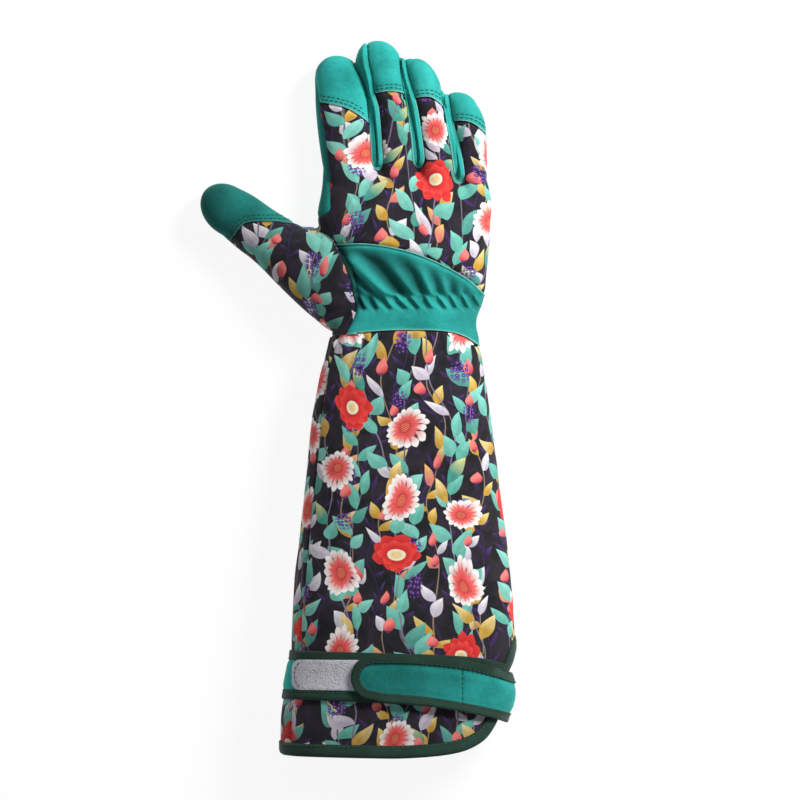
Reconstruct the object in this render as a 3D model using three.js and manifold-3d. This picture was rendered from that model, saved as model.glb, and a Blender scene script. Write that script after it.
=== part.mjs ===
// A long-cuffed gardening glove for the right hand, lying palm down.
// Millimetres. X runs across the hand towards the little finger, Y towards the fingertips, Z up from
// the surface that the glove lies on. The origin is under the middle of the glove's bounding box.
import * as THREE from "three";
import { mergeVertices } from "three/addons/utils/BufferGeometryUtils.js";
import Module from "manifold-3d";

const wasm = await Module();
wasm.setup();

// Driving sizes.
const wall = 2.0; // thickness of the cloth with its lining, and of the leather
const seamGap = 0.3; // clear gap that neighbouring pieces keep at a seam
const layerGap = 0.4; // clear gap between layers that lie on each other
const bandThick = 1.4; // leather band sewn round the cuff
const patchThick = 0.9; // loop patch on that band
const strapThick = 1.6; // closing strap
const bindingProud = 0.5; // how far a binding stands out past the edge it folds over
const hemWidth = 7.0; // folded binding along the mouth of the cuff
const stripBinding = 5.0; // folded binding along the band and the strap

// Level of the side seams above the surface, from the cuff to the fingertips.
const seamLevels = [
  { y: -230, z: 26 },
  { y: 20, z: 20 },
  { y: 60, z: 17 },
  { y: 110, z: 15 },
  { y: 140, z: 11 },
  { y: 230, z: 10 },
];
const thumbSeamLevel = 12;
const gussetFoot = 5.5; // lower edge of the strips between the fingers

// Sleeve and palm. A row is one section: its two side edges, its top and its floor; tilt is how much
// further along the right edge lies than the left one.
const bodyRows = [
  { y: -215, left: -46.6, right: 87.0, top: 58, floor: 2.6, tilt: 0 },
  { y: -190, left: -46.0, right: 87.6, top: 57, floor: 2.6, tilt: 0 },
  { y: -170, left: -43.2, right: 88.2, top: 55.5, floor: 2.6, tilt: 0 },
  { y: -155, left: -40.6, right: 91.6, top: 57, floor: 2.6, tilt: 0 },
  { y: -140, left: -40.4, right: 93.8, top: 58, floor: 2.6, tilt: 0 },
  { y: -120, left: -39.6, right: 92.6, top: 57.5, floor: 2.6, tilt: 0 },
  { y: -89, left: -36.6, right: 89.6, top: 56, floor: 2.6, tilt: 0 },
  { y: -50, left: -31.4, right: 84.4, top: 53, floor: 2.6, tilt: 0 },
  { y: -12, left: -27.4, right: 79.8, top: 50, floor: 2.8, tilt: 0 },
  { y: 16, left: -22.2, right: 75.6, top: 46, floor: 3.4, tilt: 0 },
  { y: 36, left: -17.0, right: 72.0, top: 42.5, floor: 4.0, tilt: 0 },
  { y: 47, left: -13.5, right: 70.6, top: 40, floor: 4.0, tilt: 0 },
  { y: 60, left: -9.0, right: 74.2, top: 40, floor: 1.6, tilt: 0 },
  { y: 76, left: -9.0, right: 77.0, top: 41.5, floor: 0, tilt: 0 },
  { y: 92, left: -14.0, right: 78.4, top: 41, floor: 0, tilt: 0 },
  { y: 106, left: -22.0, right: 78.8, top: 38, floor: 0, tilt: -3 },
  { y: 122, left: -22.0, right: 79.6, top: 33.5, floor: 0, tilt: -8 },
  { y: 137, left: -20.0, right: 76.4, top: 22, floor: 2.5, tilt: -12 },
];

// Fingers, from inside the palm to where the rounded tip starts. tipY and tipX are the tip's end.
const fingers = {
  index: {
    tipY: 206, tipX: -13.6,
    rows: [
      { y: 118, left: -17.5, right: 11.8, top: 28.5 },
      { y: 150, left: -23.1, right: 10.6, top: 25.5 },
      { y: 174, left: -25.8, right: 8.2, top: 23.5 },
      { y: 190, left: -26.4, right: 4.2, top: 22 },
    ],
  },
  middle: {
    tipY: 215, tipX: 11.0,
    rows: [
      { y: 118, left: 12.8, right: 36.2, top: 31.5 },
      { y: 150, left: 11.8, right: 34.6, top: 27 },
      { y: 174, left: 9.4, right: 31.2, top: 24.5 },
      { y: 190, left: 5.4, right: 28.0, top: 23.5 },
      { y: 202, left: -0.2, right: 26.0, top: 22 },
    ],
  },
  ring: {
    tipY: 204, tipX: 34.8,
    rows: [
      { y: 118, left: 37.4, right: 60.8, top: 30.5 },
      { y: 150, left: 35.8, right: 58.0, top: 26 },
      { y: 174, left: 32.4, right: 53.6, top: 23.5 },
      { y: 190, left: 29.2, right: 49.0, top: 22 },
    ],
  },
  little: {
    tipY: 183.8, tipX: 63.0,
    rows: [
      { y: 118, left: 61.0, right: 74.5, top: 27 },
      { y: 150, left: 59.4, right: 76.6, top: 23 },
      { y: 166, left: 56.6, right: 75.8, top: 21.5 },
      { y: 173, left: 55.2, right: 74.4, top: 21 },
    ],
  },
};

// Thumb, from inside the palm to its tip. a is the edge towards the index finger, b the outer edge.
const thumbRows = [
  { s: 0, ax: -4, ay: 84, bx: 0, by: 48, top: 36 },
  { s: 1, ax: -13.2, ay: 92.4, bx: -13.8, by: 40.5, top: 36 },
  { s: 2, ax: -22.8, ay: 98.4, bx: -28.2, by: 50.0, top: 33.5 },
  { s: 3, ax: -34.8, ay: 105.0, bx: -44.4, by: 64.8, top: 30 },
  { s: 4, ax: -49.8, ay: 114.6, bx: -61.2, by: 81.6, top: 27 },
  { s: 5, ax: -63.6, ay: 123.4, bx: -75.0, by: 93.0, top: 24.5 },
  { s: 6, ax: -75.0, ay: 129.4, bx: -87.0, by: 103.4, top: 23 },
];
const thumbTip = { x: -95.4, y: 121.5 };

// Seam lines as they lie when seen from above.
const bandTop = [[-30, 93], [-12.6, 93.4], [3.5, 93.6], [18.8, 91.7], [34.1, 87.8], [49.4, 81.4],
  [64.7, 72.9], [74.6, 64.5], [90, 50]];
const bandBottom = [[-130, 39], [-8, 39], [-0.6, 40.2], [25.2, 41.7], [49.2, 41.7], [62.4, 37.2],
  [73.2, 29.4], [90, 17]];
const thumbSeam = [[-26, 103], [-16.8, 97.2], [-12, 90], [-7.8, 79.2], [-3.6, 64.8], [-1.8, 52.8],
  [-8.5, 38]];
const leftStrip = [[-26, 183], [-22.6, 176], [-18.7, 153], [-16.4, 130], [-17.0, 114], [-24, 104]];
const capLines = {
  index: [[-32, 184.5], [-22.8, 182.4], [-7.8, 179.4], [8, 171]],
  middle: [[4, 183.4], [9.6, 184.2], [19.8, 185.4], [30.6, 183.6], [34, 183]],
  ring: [[30, 181.4], [34.2, 181.5], [43.2, 181.8], [51.6, 176.4], [56, 173]],
  little: [[53, 167.6], [55.8, 167.7], [67.2, 166.8], [76.8, 160.2], [82, 156]],
};
const thumbCapLine = [[-84, 88], [-76.8, 96], [-70.5, 104.4], [-64.8, 106.9], [-51.6, 107.2],
  [-40.2, 107], [-30, 112]];
// Gussets between the fingers: down one finger's edge, round the crotch and up the next finger.
const gussetOutlines = {
  index_middle: [[-4, 230], [-1.5, 203], [2.2, 190], [4.8, 181.8], [6.1, 174], [8.0, 150],
    [8.8, 142.4], [11.9, 137.6], [14.9, 142.4], [14.2, 150], [12.2, 174], [9.4, 184], [7.6, 194],
    [5.4, 206], [4.6, 230]],
  middle_ring: [[25.2, 230], [25.4, 203], [26.6, 192], [28.4, 183], [29.9, 174], [33.0, 150],
    [33.8, 143.6], [36.8, 135.4], [39.8, 143.6], [38.8, 150], [35.6, 174], [32.6, 186], [30.6, 195],
    [29.2, 204], [28.6, 230]],
  ring_little: [[45.2, 230], [45.8, 199], [48.0, 190], [51.2, 177], [53.2, 168.6], [56.2, 149.4],
    [58.6, 138], [61.3, 131.2], [64.4, 137], [62.0, 150], [59.0, 168], [57.8, 176], [57.6, 230]],
};

// Right edge of the cuff, where the sleeve is open below the vent's top: the angle round the section
// at which the cloth ends, seen from the right side edge.
const ventRows = [
  { y: -214, angle: 74 },
  { y: -211, angle: 60 },
  { y: -204, angle: 44 },
  { y: -197, angle: 35 },
  { y: -190, angle: 27 },
  { y: -180, angle: 18 },
  { y: -168, angle: 10 },
  { y: -156, angle: 3 },
  { y: -154, angle: 0.6 },
];
const leftSeamAngle = 155; // seam between the sleeve's two cloths, on the thumb side

// Closing band and strap round the cuff.
const bandLow = -181; // lower edge of the band
const bandHigh = -153; // upper edge of the band
const patch = { y0: -175.2, y1: -157.2, x0: -39, x1: 3 };
const strap = { endX: -4.5, lowest: 9 }; // free end, and the level that its root reaches down to
const strapRows = [
  { x: -4.5, low: -181, high: -153.5 },
  { x: 36, low: -184.3, high: -153.8 },
  { x: 62, low: -188.5, high: -154.6 },
  { x: 80, low: -193, high: -157.5 },
  { x: 96, low: -195.5, high: -164 },
];

// Rings of the sleeve from its mouth to the wrist, and the angles of their points. Every layer round
// the cuff has its points on these lines, so that the layers stay parallel.
const ringPlaces = [-215, -190, -181, -176, -167, -158, -153, -138, -104, -66, -26, 14, 38];
const ringAngles = Array.from({ length: 25 }, (_, k) => 15 * k);

const rad = THREE.MathUtils.degToRad;

// Smooth value of one column of a table at a place along its key column.
function column(rows, key, name, at) {
  const last = rows.length - 1;
  let i = 0;
  while (i < last - 1 && at > rows[i + 1][key]) i++;
  const slope = (k) => {
    const a = rows[Math.max(k - 1, 0)];
    const b = rows[Math.min(k + 1, last)];
    return (b[name] - a[name]) / (b[key] - a[key]);
  };
  const span = rows[i + 1][key] - rows[i][key];
  const t = THREE.MathUtils.clamp((at - rows[i][key]) / span, 0, 1);
  const t2 = t * t;
  const t3 = t2 * t;
  return rows[i][name] * (2 * t3 - 3 * t2 + 1) + rows[i + 1][name] * (3 * t2 - 2 * t3)
    + slope(i) * span * (t3 - 2 * t2 + t) + slope(i + 1) * span * (t3 - t2);
}

// Straight-line value of a curve given as x, y points.
function along(points, x) {
  let i = 0;
  while (i < points.length - 2 && x > points[i + 1][0]) i++;
  const [x0, y0] = points[i];
  const [x1, y1] = points[i + 1];
  return y0 + (y1 - y0) * THREE.MathUtils.clamp((x - x0) / (x1 - x0), 0, 1);
}

// One point of a rounded section that stands on the line from a to b, offset outwards by out.
// The underside is flattened where it would reach below the section's floor.
const roundness = 0.9;
const flatness = 0.75;
const sink = 0.15;
function sectionPoint(section, angle, out) {
  const { a, b, top, floor } = section;
  const width = a.distanceTo(b);
  const half = Math.max(width / 2 + out, 0.05);
  const middle = floor + 0.45 * (top - floor);
  const c = Math.cos(angle);
  const s = Math.sin(angle);
  const side = half * Math.sign(c) * Math.abs(c) ** roundness;
  const down = middle - floor + out;
  const z = s >= 0
    ? middle + (top + out - middle) * s ** roundness
    : Math.max(middle - down * (1 + sink) * Math.abs(s) ** flatness, floor - out);
  const x = (a.x + b.x) / 2 + (side * (b.x - a.x)) / width;
  const y = (a.y + b.y) / 2 + (side * (b.y - a.y)) / width;
  return new THREE.Vector3(x, y, z);
}

// Closed mesh through rings of points, with a fan over each end.
function loft(rings) {
  const n = rings[0].length;
  const points = rings.flat();
  const faces = [];
  for (let r = 0; r + 1 < rings.length; r++) {
    for (let k = 0; k < n; k++) {
      const p = r * n + k;
      const q = r * n + ((k + 1) % n);
      faces.push(p, q, q + n, p, q + n, p + n);
    }
  }
  const centre = (ring) => ring.reduce((sum, p) => sum.add(p), new THREE.Vector3()).divideScalar(n);
  const first = points.push(centre(rings[0])) - 1;
  const last = points.push(centre(rings.at(-1))) - 1;
  const end = (rings.length - 1) * n;
  for (let k = 0; k < n; k++) {
    faces.push(first, (k + 1) % n, k);
    faces.push(last, end + k, end + ((k + 1) % n));
  }
  return meshOf(points, faces);
}

function meshOf(points, faces) {
  const geometry = new THREE.BufferGeometry().setFromPoints(points);
  geometry.setIndex(faces);
  return geometry;
}

function solidOf(geometry) {
  const plain = geometry.clone();
  plain.deleteAttribute("normal");
  plain.deleteAttribute("uv");
  const merged = mergeVertices(plain, 1e-4);
  const solid = new wasm.Manifold(new wasm.Mesh({
    numProp: 3,
    vertProperties: merged.attributes.position.array,
    triVerts: new Uint32Array(merged.index.array),
  }));
  if (solid.volume() > 0) return solid;
  const index = merged.index.array;
  for (let i = 0; i < index.length; i += 3) [index[i + 1], index[i + 2]] = [index[i + 2], index[i + 1]];
  return new wasm.Manifold(new wasm.Mesh({
    numProp: 3,
    vertProperties: merged.attributes.position.array,
    triVerts: new Uint32Array(index),
  }));
}

function geometryOf(solid) {
  const mesh = solid.getMesh();
  const points = [];
  for (let i = 0; i < mesh.numVert; i++) {
    points.push(new THREE.Vector3(...mesh.vertProperties.subarray(i * mesh.numProp, i * mesh.numProp + 3)));
  }
  const geometry = meshOf(points, Array.from(mesh.triVerts));
  geometry.computeVertexNormals();
  return geometry;
}

const largest = (solid) => solid.decompose().sort((p, q) => q.volume() - p.volume())[0];

// Sections of the body, a finger and the thumb at one place along them.
function bodySection(y) {
  const value = (name) => column(bodyRows, "y", name, y);
  const tilt = value("tilt");
  return {
    a: new THREE.Vector2(value("left"), y - tilt / 2),
    b: new THREE.Vector2(value("right"), y + tilt / 2),
    top: value("top"),
    floor: value("floor"),
  };
}

// A rounded tip: the section shrinks towards the tip point as a quarter ellipse.
function tipSection(section, tip, t) {
  const size = Math.sqrt(Math.max(1 - t * t, 0));
  const middle = section.a.clone().add(section.b).multiplyScalar(0.5);
  const centre = middle.clone().lerp(tip, t);
  const half = section.b.clone().sub(section.a).multiplyScalar(0.5 * size);
  const level = 0.42 * section.top;
  return {
    a: centre.clone().sub(half),
    b: centre.clone().add(half),
    top: level + (section.top - level) * size ** 0.8,
    floor: level * (1 - size ** 0.6),
  };
}

const tipSteps = [0, 0.5, 0.82, 0.98];

function fingerSections(finger, inset) {
  const { rows } = finger;
  const end = rows.at(-1).y;
  const section = (y) => ({
    a: new THREE.Vector2(column(rows, "y", "left", y), y),
    b: new THREE.Vector2(column(rows, "y", "right", y), y),
    top: column(rows, "y", "top", y),
    floor: 0,
  });
  const tip = new THREE.Vector2(finger.tipX, finger.tipY - inset);
  const steps = rows.slice(0, -1).map((row) => section(row.y));
  return [...steps, ...tipSteps.map((t) => tipSection(section(end), tip, t))];
}

function thumbSections(inset) {
  const sections = thumbRows.map((row) => ({
    a: new THREE.Vector2(row.ax, row.ay),
    b: new THREE.Vector2(row.bx, row.by),
    top: row.top,
    floor: 0,
  }));
  const end = sections.pop();
  const middle = end.a.clone().add(end.b).multiplyScalar(0.5);
  const tip = new THREE.Vector2(thumbTip.x, thumbTip.y);
  tip.sub(tip.clone().sub(middle).setLength(inset));
  return [...sections, ...tipSteps.map((t) => tipSection(end, tip, t))];
}

function tube(sections, sides, out) {
  const turn = (k) => (2 * Math.PI * k) / sides;
  return solidOf(loft(sections.map((section) =>
    Array.from({ length: sides }, (_, k) => sectionPoint(section, turn(k), out)))));
}

// Hollow hand: the joined outer shapes less the joined inner ones.
const bodyPlaces = bodyRows.map((row) => row.y).filter((y) => y > 10);
const outerSides = { body: 24, finger: 12, thumb: 12 };
const innerSides = { body: 16, finger: 8, thumb: 8 };

function handForm(out) {
  const places = out < 0 ? [...bodyPlaces.slice(0, -1), bodyRows.at(-1).y + out] : bodyPlaces;
  const sides = out < 0 ? innerSides : outerSides;
  let form = tube(places.map(bodySection), sides.body, out);
  for (const finger of Object.values(fingers)) {
    form = form.add(tube(fingerSections(finger, -out), sides.finger, out));
  }
  return form.add(tube(thumbSections(-out), sides.thumb, out));
}

// Outline grown or shrunk by a distance, then raised between two levels.
function prism(outline, grow, low = -20, high = 120) {
  const turn = THREE.ShapeUtils.area(outline.map(([x, y]) => new THREE.Vector2(x, y))) > 0 ? 1 : -1;
  const n = outline.length;
  const shape = new THREE.Shape(outline.map((point, i) => {
    const here = new THREE.Vector2(...point);
    const before = new THREE.Vector2(...outline[(i + n - 1) % n]);
    const after = new THREE.Vector2(...outline[(i + 1) % n]);
    const inDirection = here.clone().sub(before).normalize();
    const outDirection = after.clone().sub(here).normalize();
    const normal = new THREE.Vector2(inDirection.y + outDirection.y, -inDirection.x - outDirection.x);
    normal.normalize().multiplyScalar((turn * grow) / Math.max(normal.dot(new THREE.Vector2(inDirection.y,
      -inDirection.x)), 0.5));
    return here.add(normal);
  }));
  const raised = new THREE.ExtrudeGeometry(shape, { depth: high - low + 2 * grow, bevelEnabled: false });
  raised.translate(0, 0, low - grow);
  return solidOf(raised);
}

// Everything above the level of the side seams, moved up by a distance.
function aboveSeam(levels, up) {
  const profile = levels.map(({ y, z }) => [y, z + up]);
  const shape = new THREE.Shape([...profile, [profile.at(-1)[0], 150], [profile[0][0], 150]]
    .map(([y, z]) => new THREE.Vector2(y, z)));
  const block = new THREE.ExtrudeGeometry(shape, { depth: 400, bevelEnabled: false });
  block.applyMatrix4(new THREE.Matrix4().makeBasis(new THREE.Vector3(0, 1, 0),
    new THREE.Vector3(0, 0, 1), new THREE.Vector3(1, 0, 0)));
  return solidOf(block.translate(-200, 0, 0));
}

const half = seamGap / 2;
const pieces = {};

// Takes the part of a solid that lies in a region as a piece, and gives back the rest.
function take(name, solid, regionAt) {
  pieces[name] = largest(solid.intersect(regionAt(-half)));
  return solid.subtract(regionAt(half));
}

const beyond = (line, far) => [...line, [line.at(-1)[0], far], [line[0][0], far]];
const handLevels = (grow) => aboveSeam(seamLevels, -grow);
const thumbLevels = (grow) => aboveSeam([{ y: 0, z: thumbSeamLevel }, { y: 150, z: thumbSeamLevel }], -grow);

function cutHand() {
  const outside = beyond(bandBottom, 260);
  let rest = handForm(0).subtract(handForm(-wall)).intersect(prism(outside, -half));

  // The thumb's three pieces.
  const thumbArea = [...thumbSeam, [-40, 30], [-120, 60], [-120, 160], [-40, 125]];
  let thumb = rest.intersect(prism(thumbArea, -half));
  rest = rest.subtract(prism(thumbArea, half));
  const thumbEnd = [...thumbCapLine, [-30, 160], [-130, 160], [-130, 70]];
  thumb = take("thumb_cap", thumb, (g) => prism(thumbEnd, g).intersect(thumbLevels(g)));
  thumb = take("thumb_back", thumb, (g) => thumbLevels(g));
  pieces.thumb_palm = largest(thumb);

  for (const [name, outline] of Object.entries(gussetOutlines)) {
    rest = take(`gusset_${name}`, rest, (g) => prism(outline, g, gussetFoot));
  }
  for (const [name, line] of Object.entries(capLines)) {
    rest = take(`${name}_cap`, rest, (g) => prism(beyond(line, 240), g).intersect(handLevels(g)));
  }
  const bandArea = [...bandTop, ...bandBottom.slice().reverse()];
  rest = take("wrist_band", rest, (g) => prism(bandArea, g).intersect(handLevels(g)));
  const backArea = [...leftStrip, [-24, 60], [130, 60], [130, 200]];
  rest = take("back_panel", rest, (g) => prism(backArea, g).intersect(handLevels(g)));
  pieces.palm_panel = largest(rest);
}

// A sheet with thickness: point(u, v, out) gives its surface on the lines us and vs. A closed one
// runs round, and its last line is its first.
function sheet(point, us, vs, low, high, closed = false) {
  const points = [];
  const columns = us.length - 1;
  const rows = vs.length - 1;
  const across = closed ? columns : columns + 1;
  for (const out of [low, high]) {
    for (const v of vs) {
      for (const u of us.slice(0, across)) points.push(point(u, v, out));
    }
  }
  const layer = across * (rows + 1);
  const at = (i, j, k) => k * layer + j * across + (i % across);
  const faces = [];
  const quad = (a, b, c, d) => faces.push(a, b, c, a, c, d);
  for (let j = 0; j < rows; j++) {
    for (let i = 0; i < columns; i++) {
      quad(at(i, j, 0), at(i + 1, j, 0), at(i + 1, j + 1, 0), at(i, j + 1, 0));
      quad(at(i, j, 1), at(i, j + 1, 1), at(i + 1, j + 1, 1), at(i + 1, j, 1));
    }
  }
  for (let i = 0; i < columns; i++) {
    quad(at(i, 0, 0), at(i, 0, 1), at(i + 1, 0, 1), at(i + 1, 0, 0));
    quad(at(i, rows, 0), at(i + 1, rows, 0), at(i + 1, rows, 1), at(i, rows, 1));
  }
  for (let j = 0; j < rows && !closed; j++) {
    quad(at(0, j, 0), at(0, j + 1, 0), at(0, j + 1, 1), at(0, j, 1));
    quad(at(columns, j, 0), at(columns, j, 1), at(columns, j + 1, 1), at(columns, j + 1, 0));
  }
  return solidOf(meshOf(points, faces));
}

const steps = (from, to, count) => Array.from({ length: count + 1 }, (_, k) => mix(from, to, k / count));
const between = (lines, from, to) => [from, ...lines.filter((x) => x > from + 0.5 && x < to - 0.5), to];

// Point of the sleeve at an angle in degrees round it, on the flat facets between the rings' points.
function sleevePoint(y, angle, out) {
  const j = THREE.MathUtils.clamp(ringPlaces.findIndex((place) => place >= y) - 1, 0, ringPlaces.length - 2);
  const row = y > ringPlaces.at(-1) ? ringPlaces.length - 2 : j;
  const v = (y - ringPlaces[row]) / (ringPlaces[row + 1] - ringPlaces[row]);
  const step = ringAngles[1];
  const i = Math.floor(angle / step);
  const corner = (place, k) => sectionPoint(bodySection(place), rad(k * step), out);
  const ring = (place) => corner(place, i).lerp(corner(place, i + 1), angle / step - i);
  return ring(ringPlaces[row]).lerp(ring(ringPlaces[row + 1]), v);
}

// Angle that one millimetre along the cloth takes at a place.
function anglePerMm(y, angle) {
  const step = sleevePoint(y, angle + 0.5, 0).distanceTo(sleevePoint(y, angle - 0.5, 0));
  return 1 / Math.max(step, 0.2);
}
const ventAngle = (y) => (y > -154 ? seamGap / 2 : column(ventRows, "y", "angle", y));
const mix = THREE.MathUtils.lerp;
const hemY = bodyRows[0].y;

// The sleeve's edge as a closed path: along the back hem, up the vent, down it and along the palm hem.
// side is 1 on the back and -1 on the palm.
const ventPlaces = [-214, -211.5, -208, -204, -199, -194, -187, -180, -172, -164, -158, -154.5];
const hemAngles = [180, 168, 156, 144, 132, 120, 108, 96, 85];
function edgePath() {
  const back = [
    ...hemAngles.map((angle) => ({ y: hemY, angle })),
    ...ventPlaces.map((y) => ({ y: y === -214 ? hemY + 0.3 : y, angle: ventAngle(y) })),
  ];
  const palm = back.slice(1).reverse().map(({ y, angle }) => ({ y, angle: -angle }));
  return [...back, ...palm];
}

// Point on the folded binding: u along the edge path, v from the edge inwards.
function bindingPoint(path, u, v, out) {
  const n = path.length;
  const i = Math.round(u * n) % n;
  const [before, here, after] = [path[(i + n - 1) % n], path[i], path[(i + 1) % n]];
  const perMm = anglePerMm(here.y, here.angle);
  let turn = after.angle - before.angle;
  if (turn > 180) turn -= 360;
  if (turn < -180) turn += 360;
  const alongY = after.y - before.y;
  const alongAngle = turn / perMm;
  const length = Math.hypot(alongY, alongAngle);
  const inwards = hemWidth * v;
  const y = here.y - (alongAngle / length) * inwards;
  const angle = here.angle + (alongY / length) * inwards * perMm;
  return sleevePoint(y, angle, out);
}

const bindingRoom = (inwards) => {
  const path = edgePath();
  const room = (u, v, out) => bindingPoint(path, u, v, out);
  return sheet(room, steps(0, 1, path.length), [-1, inwards], -wall - 4, 4, true);
};
// A solid without the room that the binding of the sleeve's edge takes.
const besideEdge = (solid) => solid.subtract(bindingRoom(1 + seamGap / hemWidth));

function cutSleeve() {
  // Upper edge of the cloth, under the wrist band and the palm's leather.
  const topAt = (angle, out) => {
    let y = 38;
    for (let step = 0; step < 6; step++) y = along(bandBottom, sleevePoint(y, angle, out).x) - seamGap;
    return y;
  };
  const top = ringPlaces.at(-1);
  const onCloth = (angle, place, out) => {
    const share = Math.max(0, (place + 76) / (top + 76));
    return sleevePoint(place + (topAt(angle, out) - top) * share, angle, out);
  };
  const rows = between(ringPlaces, hemY + 0.5 * hemWidth, top);
  const tubular = besideEdge(sheet(onCloth, ringAngles, rows, -wall, 0, true));
  const slit = (angle, low) => {
    const width = half * anglePerMm(-90, angle);
    const cut = (u, v, out) => sleevePoint(v, angle + u * width, out);
    return sheet(cut, [-1, 1], between(ringPlaces, low, 60), -wall - 4, 4);
  };
  const cloths = tubular.subtract(slit(leftSeamAngle, -235)).subtract(slit(0, -153)).decompose();
  cloths.sort((p, q) => q.volume() - p.volume());
  const level = (solid) => solid.boundingBox().min[2] + solid.boundingBox().max[2];
  [pieces.sleeve_palm, pieces.sleeve_back] = cloths.slice(0, 2).sort((p, q) => level(p) - level(q));

  const path = edgePath();
  const onBinding = (u, v, out) => bindingPoint(path, u, v, out);
  pieces.hem_binding = sheet(onBinding, steps(0, 1, path.length), [0, 1], -wall - bindingProud,
    bindingProud, true);
}

// Layer round the cuff between two angles and two places along it.
function cuffLayer(from, to, low, high, inner, outer) {
  const point = (angle, y, out) => sleevePoint(y, angle, out);
  return sheet(point, between(ringAngles, from, to), between(ringPlaces, low, high), inner, outer);
}

// Outline of the strap seen from above, drawn in from its edge by inset.
function strapOutline(inset) {
  const edge = (name, x) => column(strapRows, "x", name, x);
  const radius = (edge("high", strap.endX) - edge("low", strap.endX)) / 2;
  const middle = (edge("high", strap.endX) + edge("low", strap.endX)) / 2;
  const centre = strap.endX + radius;
  const round = steps(90, 270, 8).map((angle) => [
    centre + (radius - inset) * Math.cos(rad(angle)),
    middle + (radius - inset) * Math.sin(rad(angle)),
  ]);
  const run = steps(centre + 12, 130, 7);
  const lower = run.map((x) => [x, edge("low", x) + inset]);
  const upper = run.map((x) => [x, edge("high", x) - inset]).reverse();
  return [...round, ...lower, ...upper];
}

function addClosure() {
  const inner = layerGap;
  const outer = layerGap + bandThick;
  const proud = outer + bindingProud / 2;
  const ring = (low, high, top) => largest(besideEdge(cuffLayer(12, 348, low, high, inner, top)));
  pieces.cuff_band = ring(bandLow + stripBinding + half, bandHigh - stripBinding - half, outer);
  pieces.band_binding_low = ring(bandLow, bandLow + stripBinding, proud);
  pieces.band_binding_high = ring(bandHigh - stripBinding, bandHigh, proud);

  const onBand = outer + layerGap;
  const onPatch = onBand + patchThick + layerGap;
  const angleAt = (x) => steps(20, 170, 600).find((angle) => sleevePoint(patch.y0, angle, 0).x < x);
  pieces.loop_patch = cuffLayer(angleAt(patch.x1), angleAt(patch.x0), patch.y0, patch.y1, onBand,
    onBand + patchThick);

  // The strap lies over the patch and crosses the vent to the palm side of the band.
  const places = between(ringPlaces, -206, -142);
  const full = (out) => solidOf(loft(places.map((y) =>
    ringAngles.slice(0, -1).map((angle) => sleevePoint(y, angle, out)))));
  const layer = (low, high) => full(high).subtract(full(low));
  const cut = (outline, grow) => prism(outline, grow, strap.lowest);
  pieces.strap = largest(layer(onPatch, onPatch + strapThick)
    .intersect(cut(strapOutline(stripBinding), -half)));
  pieces.strap_binding = largest(layer(onPatch - 0.1, onPatch + strapThick + bindingProud)
    .intersect(cut(strapOutline(0), 0)).subtract(prism(strapOutline(stripBinding), half)));
}

cutHand();
cutSleeve();
addClosure();

// Finishes, from the photograph's colours.
const leather = { color: 0x23a08c, roughness: 0.85, metalness: 0 };
const printedCloth = { color: 0x2c2630, roughness: 0.9, metalness: 0 };
const bindingTape = { color: 0x12462f, roughness: 0.8, metalness: 0 };
const loopPile = { color: 0xa9a7b0, roughness: 1, metalness: 0 };
const finishOf = (name) => {
  if (name.includes("binding")) return bindingTape;
  if (name === "loop_patch") return loopPile;
  return ["back_panel", "thumb_back", "sleeve_back", "sleeve_palm"].includes(name) ? printedCloth : leather;
};

const glove = new THREE.Group();
for (const [name, solid] of Object.entries(pieces)) {
  const mesh = new THREE.Mesh(geometryOf(solid), new THREE.MeshStandardMaterial(finishOf(name)));
  mesh.name = name;
  glove.add(mesh);
}
export default glove;
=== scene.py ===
import math
import time

import bpy
import numpy as np
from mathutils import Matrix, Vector


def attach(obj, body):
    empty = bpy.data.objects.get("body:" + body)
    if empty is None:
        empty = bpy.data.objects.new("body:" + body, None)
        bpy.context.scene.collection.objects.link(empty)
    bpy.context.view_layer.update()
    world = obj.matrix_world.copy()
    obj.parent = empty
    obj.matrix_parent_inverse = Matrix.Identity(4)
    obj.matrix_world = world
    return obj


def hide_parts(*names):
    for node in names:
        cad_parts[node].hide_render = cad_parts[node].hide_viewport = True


# Long-cuffed gardening glove, palm down. Tables and sizes are in millimetres, with the CAD's axes;
# a mesh gets metres when it is made.
mm = 0.001
started = time.time()
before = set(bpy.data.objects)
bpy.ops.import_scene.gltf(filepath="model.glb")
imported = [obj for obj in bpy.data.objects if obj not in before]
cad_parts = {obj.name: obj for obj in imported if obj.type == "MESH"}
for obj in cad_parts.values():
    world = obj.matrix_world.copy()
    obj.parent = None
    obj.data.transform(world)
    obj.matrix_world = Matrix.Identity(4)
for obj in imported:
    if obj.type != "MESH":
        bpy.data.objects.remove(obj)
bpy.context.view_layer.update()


def report(words):
    print(f"{time.time() - started:6.1f} s  {words}", flush=True)


report(f"frame loaded with {len(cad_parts)} nodes")


# Shape of the hand, the same sizes as the CAD.
def columns(names, rows):
    return {name: np.array(values, float) for name, values in zip(names.split(), zip(*rows))}


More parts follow.
